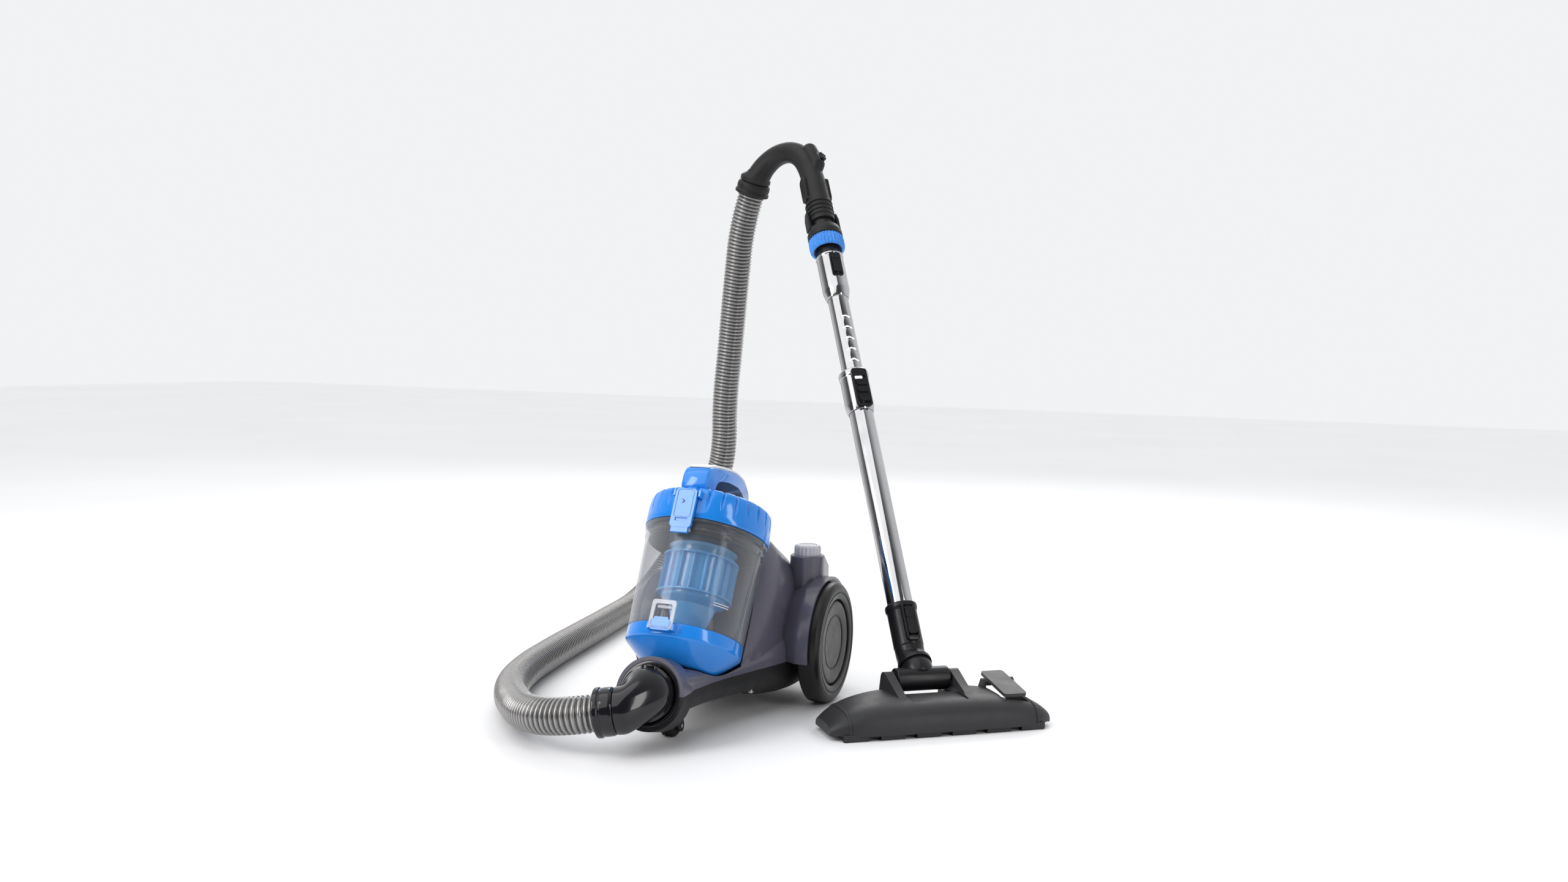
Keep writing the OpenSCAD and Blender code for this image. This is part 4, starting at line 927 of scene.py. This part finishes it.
def plate_data(w, h, r, y0, y1, z0):
    """A rounded rectangle seen from the front, w wide from z0 up by h, between two depths."""
    outline = rectangle(-w / 2, z0, w / 2, z0 + h, r, 8)
    return skin([[(x, y, z) for x, z in outline] for y in (y0, y1)])


def latches():
    slot_cut = block_data(-8, -90, 121.6, 8, -84.2, 125.6)
    data = combine(plate_data(28, 50, 5, -85.6, -81.2, 113.6),
                   [(CUT, slot_cut), (CUT, plate_data(22, 36, 3.4, -90, -85.1, 126.4)),
                    (ADD, plate_data(20.6, 34.6, 3.0, -85.5, -84, 127.1)),
                    (ADD, block_data(-11, -85.4, 107.5, 11, -81.2, 116))])
    blue("lid_latch_plate", data, "lid_catch", "lid_latch", bevel=0.0006)
    blue("lid_latch_barrel", bar(-14, 14, -82.5, 158.5, 3, 40), "lid_catch")
    chevron = combine(moved(block_data(-4, -85.75, -0.5, 0.2, -85.2, 0.5), T(0, 0, 147) @ R(38, "Y")),
        [(ADD, moved(block_data(-4, -85.75, -0.5, 0.2, -85.2, 0.5), T(0, 0, 147) @ R(-38, "Y")))])
    fit("lid_latch_arrow", chevron, CUP, M["satin"], "lid_catch")
    # Clear bail and blue lever of the door latch
    bail = combine(plate_data(31, 36, 4, -80.0, -77.8, -12), [(CUT, plate_data(22, 27, 2.6, -90, -70, -8))])
    fit("door_latch_bail", bail, CUP, M["clear_frame"], "door_catch", "door_latch", slot="blue_plastic",
        bevel=0.0007)
    lever = combine(plate_data(26, 13, 3, -80.0, -75.0, -13),
        [(ADD, plate_data(19, 5, 1.6, -80.0, -77.6, -2))])
    blue("door_latch_lever", lever, "door_catch", bevel=0.0008)
    fit("door_latch_pin", bar(-17, 17, -76.5, -8, 1.5, 32), CUP, M["steel"], "door_catch", slot="steel")


latches()


def door():
    shell = [(0, -43), (39.5, -43), (42.0, -42.5), (44.2, -41.4), (CUP_R - 2.2, -18.6),
        (CUP_R - 0.8, -17.0), (CUP_R, -14.6), (CUP_R, -1.2), (CUP_R - 0.6, -0.2), (CUP_R - 2.4, -0.2),
        (CUP_R - 2.7, -15), (42, -39.6), (0, -39.6)]
    turned("door_shell", shell, CUP, M["blue"], "door", "bottom_door", slot="blue_plastic", n=144, r=0.8)
    blue("door_tongue", block_data(-9.2, CUP_R - 2.8, -7, 9.2, CUP_R + 1.6, -1), "door", bevel=0.0008)
    fit("door_pin", bar(-17.5, 17.5, CUP_R, -2, 1.5, 32), CUP, M["steel"], "door", slot="blue_plastic")
    for s in (-1, 1):
        lug = block_data(s * 15.9 - 1.5, -CUP_R - 7, -12, s * 15.9 + 1.5, -CUP_R + 4, -4)
        blue("door_lug_" + SIDE[s], lug, "door", bevel=0.0006)


door()


# Hose connector and cuffs ---------------------------------------------------------------------
def hose_end(i, away):
    """Frame at an end of the hose, in millimetres, +Z towards the connector."""
    h = heading(ROUTE, i) * away
    return T(*ROUTE[i]) @ R(math.degrees(math.atan2(h.y, h.x)), "Z") @ R(math.degrees(math.acos(h.z)), "Y")


COLLAR_R = 38.5
FRONT = hose_end(0, -1)
BACK = hose_end(len(ROUTE) - 1, 1)


def morph(name, a_frame, a_rings, b_frame, b_rings, mat, n=64, extra=10):
    """A smooth bent tube from rings (r, z) in one frame to rings in another."""
    def ring(m, r, z):
        return [m @ Vector((r * c, r * s, z)) for c, s in circle(n)]

    first = [ring(a_frame, r, z) for r, z in a_rings]
    second = [ring(b_frame, r, z) for r, z in b_rings]
    # The second set's points are matched to the first's by the least twist
    best = min(((sum((first[-1][k] - second[0][(d + s * k) % n]).length for k in range(0, n, 4)), d, s)
                for d in range(n) for s in (1, -1)), key=lambda q: q[0])
    d, s = best[1], best[2]
    second = [[row[(d + s * k) % n] for k in range(n)] for row in second]
    za = a_frame.to_3x3() @ Vector((0, 0, 1))
    zb = b_frame.to_3x3() @ Vector((0, 0, 1))
    gap = sum(((first[-1][k] - second[0][k]).length for k in range(n)), 0.0) / n
    centre_a = sum(first[-1], Vector()) / n
    centre_b = sum(second[0], Vector()) / n
    za = za if za.dot(centre_b - centre_a) > 0 else -za
    zb = -zb if zb.dot(centre_a - centre_b) > 0 else zb
    between = []
    for i in range(1, extra):
        t = i / extra
        wa, wb = 2 * t ** 3 - 3 * t * t + 1, 3 * t * t - 2 * t ** 3
        lean = za * gap * 0.8 * (t ** 3 - 2 * t * t + t)
        lean_b = zb * gap * 0.8 * (t ** 3 - t * t)
        between.append([first[-1][k] * wa + lean + second[0][k] * wb + lean_b for k in range(n)])
    rows = [[tuple(p) for p in row] for row in first + between + second]
    return piece(name, *skin(rows), MODEL, mat, 40)


def connector():
    made = morph("connector_elbow", INLET,
        [(29.4, -23.7), (30, -23.0), (30, 3.4), (33, 4.2), (33, 9.0), (30.2, 9.6), (30, 12)], FRONT,
        [(27.4, 25), (27.2, 18.6), (26.4, 18.2), (21.6, 18.0), (21.6, 0.3)], M["gloss"])
    settle(made, "canister", "hose_connector", slot="black_plastic")
    r = 31.3
    for name, z in (("connector_bead", -2.5), ("connector_bead_two", 0.6)):
        turned(name, [(29.6, z - 0.9), (r, z - 0.5), (r, z + 0.5), (29.6, z + 0.9)], PORT, M["gloss"],
            "canister", r=0.3)
    pad = combine(plate_data(22, 30, 8, 28.6, 32.6, -15),
                  [(CUT, plate_data(13.4, 24.6, 5, 26, 40, -12.3))])
    fit("connector_key_frame", pad, PORT, M["gloss"], "canister", bevel=0.0006)
    key = combine(plate_data(11.2, 22, 4.6, 24.2, 32.4, -10.6),
        [(ADD, plate_data(9.6, 5, 2.4, 30, 33.9, 3.4)), (ADD, plate_data(9.6, 1.6, 0.7, 30, 33.2, -1.6)),
        (ADD, plate_data(9.6, 1.6, 0.7, 30, 33.2, -5.2))])
    fit("connector_key_cap", key, PORT, M["satin"], "connector_key", "connector_button", bevel=0.0005)
    turned("inlet_mouth", [(33.2, -24), (33.2, 0.4), (34.2, 1.2), (COLLAR_R - 0.6, 1.0),
        (COLLAR_R - 0.1, 0), (COLLAR_R - 0.1, -27.6), (15, -27.6), (15, -24.2)], PORT, M["gloss"],
        "canister", "inlet_collar", n=128, r=0.4)


def cuff(name, node, body, place, r, h, mat):
    profile = [(22.7, -6), (r - 1.4, -6), (r - 0.2, -5.2), (r, -4.2), (r, -0.6), (r - 0.8, 0.4),
        (r - 1.6, 1.2), (r - 1.7, 2.6), (r - 1.0, 3.4), (r - 0.9, h * 0.5), (r - 1.2, h - 3.4), (r - 3, h),
        (21.75, h), (21.75, 0.6), (22.7, 0.4)]
    turned(name, profile, MODEL @ place @ T(0, 0, 0.2), mat, body, node, n=112, r=0.5)


connector()
cuff("front_swivel_cuff", "front_cuff", "front_swivel", FRONT, 29, 17, M["gloss"])
cuff("handle_swivel_cuff", "handle_cuff", "handle_swivel", BACK, 28, 14, M["grained"])


# Handle -------------------------------------------------------------------------------------
def on_wand(name, data, body, *nodes, **look):
    """One satin black piece of the wand or the handle."""
    return fit(name, data, WAND, M["satin"], body, *nodes, **look)


def handle():
    line = through([(0, 735), (0, 770), (0, 800), (1, 824), (4, 848), (11, 872), (24, 892), (43, 905),
        (65, 909), (86, 904), (103, 893)], 5)
    points = []
    sizes = []
    for i, (u, v) in enumerate(line):
        points.append(Vector((u, 0, v)))
        t = i / (len(line) - 1)
        r = 20.8 - 2.2 * min(1.0, t / 0.3) - 1.5 * max(0.0, min(1.0, (t - 0.3) / 0.35))
        r += 3.0 * max(0.0, (t - 0.72) / 0.28) ** 1.5
        sizes.append(r)
    rings = []
    n = 56
    sideways = Vector((0, 1, 0))
    for i, p in enumerate(points):
        h = heading(points, i)
        out = h.cross(sideways).normalized()
        rings.append([tuple(p + (out * c + sideways * s * 0.96) * sizes[i]) for c, s in circle(n)])
    fit("handle_grip", skin(rings), GRIP, M["grained"], "canister", "handle_shell", angle=50)
    # Ribs and side panels of the sleeve
    for k, z in enumerate((744, 752, 760, 768)):
        turned(f"sleeve_rib_{k}", [(20.0, z - 1.2), (21.6, z - 0.6), (21.6, z + 0.6), (20.0, z + 1.2)],
            WAND, M["grained"], "canister", n=80, r=0.5)
    for k, s in enumerate((-1, 1)):
        on_wand(f"sleeve_panel_{k}", moved(plate_data(20, 46, 8, -21.3, -16, 776), R(90 * s, "Z")),
            "canister", bevel=0.0012)
    # Air-control hump on the outside of the bend
    hump = hull_data(ball_data(12.6, T(-12, 0, 846)), ball_data(12.6, T(-4, 0, 878)),
        ball_data(9, T(-8, 0, 832)))
    data = combine(hump, [(CUT, block_data(-27.5, -6, 846, -19.5, 6, 868))])
    fit("air_control_hump", data, GRIP, M["grained"], "canister", angle=40, bevel=0.0006)
    slide = combine(block_data(-26.9, -5.5, 848, -22.4, 5.5, 859),
        [(ADD, block_data(-28.0, -5.5, 849.4 + 2.9 * i, -26, 5.5, 850.9 + 2.9 * i)) for i in range(3)])
    fit("air_control_slide", slide, GRIP, M["satin"], "air_control", "air_slide", bevel=0.0004)
    turned("handle_spigot", [(13.6, 655), (16.2, 655), (16.95, 657), (16.95, 700), (16.95, 736),
        (13.6, 736)], WAND, M["satin"], "canister", r=0.5)
    grip_end = MODEL.inverted() @ GRIP @ T(103, 0, 893) @ R(90 + 33, "Y")
    cone = morph("hose_cuff_cone", grip_end, [(20.2, -3), (20.4, 0)],
                 BACK, [(25.2, 22), (25, 16.4), (24, 15.7), (21.6, 15.4), (21.6, 0.3)], M["grained"])
    settle(cone, "canister", slot="black_plastic")


def ball_data(r, m, n=28):
    rings = []
    for i in range(1, n):
        a = math.pi * i / n
        rings.append([(r * math.sin(a) * c, r * math.sin(a) * s, r * math.cos(a)) for c, s in circle(n)])
    return moved(skin(rings), m)


handle()


def brush():
    collar = [(21.5, 703), (26.4, 703), (27, 703.8), (27, 712.2), (26.4, 713), (24.2, 720.4), (21.5, 720.8)]
    turned("brush_body", collar, WAND, M["grained"], "brush", "brush_collar", n=112, r=0.6)
    for s in (-1, 1):
        tab = hull_data(block_data(s * 23.9 - 2.1, -7, 719, s * 23.9 + 2.1, 7, 740),
            block_data(s * 23.4 - 1.4, -4.5, 740, s * 23.4 + 1.4, 4.5, 752.5))
        fit("brush_tab_" + SIDE[s], tab, WAND, M["grained"], "brush", bevel=0.0008)

    def lobed(r, z, a):
        if r < 23:
            return r
        return r - 1.7 * abs(math.sin(a * 17)) ** 0.7

    ring = [(21.7, 681), (25.4, 681), (26.6, 682.6), (27.3, 688), (27.3, 697), (26.6, 702.4), (25, 702.9),
        (21.7, 702.9)]
    turned("brush_tuft_ring", ring, WAND, M["blue_tufts"], "brush", "brush_bristles", slot="bristle",
        n=34 * 10, r=0.5, radius=lobed, angle=60)


brush()


# Wand ---------------------------------------------------------------------------------------
def wand():
    turned("socket_body", [(15.6, 590), (16.6, 590), (17.4, 592), (20.1, 603), (20.5, 606), (20.5, 664),
        (21.2, 665), (21.2, 667.4), (20.4, 668), (17.2, 668), (17.2, 614.2), (15.6, 614)], WAND,
        M["chrome"], "canister", "wand_socket", slot="chrome_tube", n=112, r=0.5)
    frame_data = combine(plate_data(17, 42, 3, -21.8, -17.6, 622),
        [(CUT, plate_data(10.8, 27, 2, -30, -10, 625.4))])
    on_wand("socket_key_frame", frame_data, "canister", bevel=0.0006)
    key = combine(plate_data(10, 24, 2, -24.6, -17.8, 627), [(ADD, plate_data(13, 30, 3, -26, -23.4, 626)),
                                                            (ADD, plate_data(13, 6, 2, -27.0, -24, 650))])
    on_wand("socket_key_cap", key, "socket_key", "socket_button", bevel=0.0006)
    # Upper tube with its row of notches
    tube = [(14.3, 210), (15.5, 210), (15.5, 614), (14.3, 614)]
    base = lathe_data(tube, 96)
    cuts = []
    for i in range(5):
        z = 478 + 19 * i
        cuts.append((CUT, hull_data(block_data(-8, -19, z - 4.2, 8, -18, z - 4.0),
            block_data(-8, -19, z + 5.4, 8, -18, z + 5.6),
            block_data(-8, -13.4, z - 4.2, 8, -13.3, z - 4.1))))
    fit("tube_upper", combine(base, cuts), WAND, M["chrome"], "canister", "upper_tube", slot="chrome_tube",
        angle=30)
    turned("tube_lower", [(15.6, 62), (17.5, 62), (17.5, 422), (15.6, 422)], WAND, M["chrome"],
        "lower_wand", "lower_tube", slot="chrome_tube", n=112, r=0.4)
    collar = [(17.6, 392), (18.4, 392), (18.9, 393), (20.8, 402), (21, 404), (21, 447.6), (21.6, 449),
        (22, 451), (22, 457), (21.2, 459), (15.7, 459), (15.7, 422.2), (17.6, 422)]
    body = lathe_data(rounded(collar, 0.6), 112)
    fit("telescope_body", combine(body, [(CUT, block_data(-8.2, -30, 398, 8.2, -17, 444))]), WAND,
        M["chrome"], "lower_wand", "telescope_collar", slot="chrome_tube", angle=30)
    cheek = combine(plate_data(23, 62, 4, -22.6, -14, 394), [(CUT, block_data(-8.2, -40, 398, 8.2, 0, 444)),
                                                             (CUT, drum_data(21.02, 21.02, 380, 470, 96))])
    on_wand("telescope_cheeks", cheek, "lower_wand", bevel=0.0007)
    slider = combine(block_data(-7.9, -22.6, 401, 7.9, -18.0, 437),
        [(ADD, plate_data(15.8, 11, 3, -25, -21, 401.2)), (ADD, plate_data(15.8, 9.6, 3, -25, -21, 427.2)),
        (ADD, plate_data(15.8, 8.4, 3, -26, -20, 415))])
    on_wand("telescope_slider", slider, "telescope_key", "telescope_button", bevel=0.0009)
    # Neck connector with its latch
    sleeve = lathe_data(rounded([(15, 36), (19.4, 36), (20, 38), (20, 86), (21.2, 88.4), (21.6, 90),
        (21.6, 94.6), (20.6, 96), (17.6, 96), (17.6, 62.4), (15, 62)], 0.6), 112)
    cut = block_data(-6.5, -26.2, 45.6, 6.5, -19, 88.2)
    box_part = hull_data(plate_data(18, 54, 4, -23.4, -12, 40), plate_data(15, 50, 3, -24, -12, 42))
    on_wand("neck_sleeve", combine(sleeve,
        [(ADD, combine(box_part, [(CUT, drum_data(16, 16, 30, 100, 64))])), (CUT, cut)]), "lower_wand",
        "neck_connector", angle=32, bevel=0.0006)
    latch = combine(plate_data(12, 38, 3, -25.4, -21, 48), [(ADD, plate_data(12, 14, 2.4, -26.6, -23, 70))])
    on_wand("neck_latch", latch, "neck_key", "neck_button", bevel=0.0007)
    inv = MODEL.inverted()
    bend = morph("neck_elbow", inv @ WAND, [(19.4, 36.2), (19.4, 33.5), (19.3, 30.5)], inv @ SWIVEL,
        [(20.6, 29.2), (21.4, 28.0), (22.5, 26.8), (22.5, 22.2), (15, 22.2)], M["satin"])
    settle(bend, "lower_wand", "elbow", slot="black_plastic")
    turned("swivel_cone", [(0, 0), (17, 0), (19.4, 4), (20.4, 14), (20.4, 20.8), (19.8, 21.7), (14, 21.7),
        (14, 26.8), (0, 26.8)], SWIVEL, M["satin"], "swivel_neck", "yoke")
    fit("swivel_barrel", moved(lathe_data(rounded([(0, -36), (14.2, -36), (15, -35), (15, 35), (14.2, 36),
        (0, 36)], 0.6, 3, False), 80), T(0, 0, 51) @ R(90, "Y")), HEAD, M["satin"], "swivel_neck")
    fit("swivel_pin", bar(-50, 50, 0, 51, 4, 48), HEAD, M["satin"], "swivel_neck")


wand()


# Floor head -----------------------------------------------------------------------------------
# Length and height of the floor head, and where its front and back edges are
HL, HH, HF, HB = 295.0, 42.0, -88.0, 34.0


def head_section(x, drop=0.0, n=48):
    e = abs(x) / (HL / 2)
    top = HH - 14 * e ** 3 - 10 * e ** 10 - drop
    back = HB - 52 * e ** 2.2 - drop
    front = HF + 16 * e ** 8 + drop
    mid = (front + back) / 2
    half = (back - front) / 2
    ring = [(x, back, 6)]
    for i in range(n + 1):
        a = math.pi * i / n
        ring.append((x, mid + half * power(math.cos(a), 0.62),
            8 + (top - 8) * math.sin(a) ** 0.8 if 0 < i < n else 8))
    ring.append((x, front, 6))
    return ring


def head():
    xs = [-HL / 2 + HL * (0.5 - 0.5 * math.cos(math.pi * i / 72)) for i in range(73)]
    base = skin([head_section(x) for x in xs])
    steps = []
    for s in (-1, 1):
        cradle = hull_data(moved(drum_data(11, 11, -6.2, 6.2, 64), T(s * 45, 0, 51) @ R(90, "Y")),
            block_data(s * 45 - 6.2, -50, 26, s * 45 + 6.2, 16, 30),
            block_data(s * 45 - 5, -62, 30, s * 45 + 5, -60, 36))
        steps.append((ADD, cradle))
    for x in (80.0, 120.4):
        steps.append((ADD, hull_data(moved(drum_data(5, 5, 0, 3.6, 40), T(x, -12, 45) @ R(90, "Y")),
            block_data(x, -22, 26, x + 3.6, 2, 30))))
    # Room for the neck, its trough, the pedal's well and the suction mouth
    for cut in (block_data(-38, -22, 10, 38, 60, 80),
                hull_data(block_data(-38, -64, 37.5, 38, -21, 37.6), block_data(-38, -64, 60, 38, -21, 62)),
                block_data(84, -68, 20, 120, 14, 80),
                block_data(-HL / 2 + 3, HF + 3, 0, HL / 2 - 3, 14, 7)):
        steps.append((CUT, cut))
    fit("head_cover", combine(base, steps), HEAD, M["head"], "floor_head", "head_shell", angle=30)
    fit("head_panel", skin([[(x, y, z) for x, y in rectangle(-37, -63, 37, -22.5, 4, 6)] for z in (36.6,
        38.4)]), HEAD, M["panel"], "floor_head", bevel=0.0006)
    fit("pedal_pin", bar(82, 122, -12, 45, 1.95, 32), HEAD, M["steel"], "floor_head", slot="steel")
    # Toothed skirt along the front of the sole
    for i in range(6):
        x = -HL / 2 + 14 + i * 47
        tooth = hull_data(block_data(x, HF + 2.4, 1.2, x + 32, HF + 8, 9),
            block_data(x + 1.5, HF + 3.4, 0.1, x + 30.5, HF + 7, 1.2))
        fit(f"skirt_tooth_{i}", tooth, HEAD, M["head"], "floor_head", bevel=0.0006)
    for s in (-1, 1):
        rings = [grown(head_section(s * (HL / 2 - d)), 0.9) for d in (24.0, 22.4, 20.8)]
        fit("end_cap_" + SIDE[s], skin(rings), HEAD, M["head"], "floor_head", angle=50)
    feet = [T(102 + sx * 11.6, y, 38) for sx in (-1, 1) for y in (-61.4, 3.4)]
    plate = hull_data(*[moved(drum_data(4, 4, 0, 4.4, 24), foot) for foot in feet])
    tilt = T(0, -66, 38) @ R(10, "X") @ T(0, 66, -38)
    data = combine(moved(plate, tilt), [(ADD, bar(86.2, 117.8, -12, 45, 4.9, 48)),
                                        (CUT, bar(80, 124, -12, 45, 2.02, 32))])
    fit("pedal_plate", data, HEAD, M["panel"], "pedal", "head_pedal", bevel=0.0008)


def grown(ring, t):
    """A ring of the head pushed out by t."""
    mid = (ring[0][1] + ring[-1][1]) / 2
    out = []
    for x, y, z in ring:
        d = Vector((y - mid, (z - 8) * 1.5))
        d = d.normalized() * t if d.length > 0.01 else Vector((0, 0))
        out.append((x, y + d.x, z + max(0.0, d.y)))
    return out


head()


# Studio -------------------------------------------------------------------------------------
def studio():
    mesh = bpy.data.meshes.new("floor")
    mesh.from_pydata([(-9, -9, 0), (9, -9, 0), (9, 9, 0), (-9, 9, 0)], [], [(0, 1, 2, 3)])
    floor = placed("floor", mesh)
    s = Shader("studio_floor")
    s.colour(s.blend_colours(s.noise(1.5), (0.86, 0.86, 0.87), (0.89, 0.89, 0.9)))
    s.set(Roughness=0.55)
    mesh.materials.append(s.mat)
    world = bpy.data.worlds.new("studio")
    bpy.context.scene.world = world
    world.use_nodes = True
    tree = world.node_tree
    sky = tree.nodes["Background"]
    where_from = tree.nodes.new("ShaderNodeTexCoord")
    split = tree.nodes.new("ShaderNodeSeparateXYZ")
    ramp = tree.nodes.new("ShaderNodeMapRange")
    ramp.interpolation_type = "SMOOTHSTEP"
    for key, value in (("From Min", -0.5), ("From Max", 0.5), ("To Min", 0.09), ("To Max", 0.9)):
        ramp.inputs[key].default_value = value
    tree.links.new(where_from.outputs["Generated"], split.inputs[0])
    tree.links.new(split.outputs["Y"], ramp.inputs["Value"])
    tree.links.new(ramp.outputs["Result"], sky.inputs["Strength"])
    sky.inputs["Color"].default_value = (0.98, 0.99, 1.0, 1)
    sun = bpy.data.lights.new("ceiling", "SUN")
    sun.energy = 1.65
    sun.angle = math.radians(70)
    lamp = placed("ceiling", sun)
    lamp.rotation_euler = (math.radians(24), math.radians(-18), 0)
    target = Vector((0.0, 0.0, 0.25))
    for name, where, size, power in (
        ("key", (-1.5, -2.1, 1.5), (0.8, 1.9), 34),
        ("fill", (2.4, -1.2, 1.2), (0.45, 2.2), 20),
        ("rim", (-0.6, 2.3, 1.8), (2.2, 1.0), 26),
    ):
        data = bpy.data.lights.new(name, "AREA")
        data.shape = "RECTANGLE"
        data.size, data.size_y = size
        data.energy = power
        lamp = placed(name, data)
        lamp.location = where
        lamp.rotation_euler = (target - Vector(where)).to_track_quat("-Z", "Y").to_euler()


studio()
bpy.context.scene.view_settings.view_transform = "Standard"
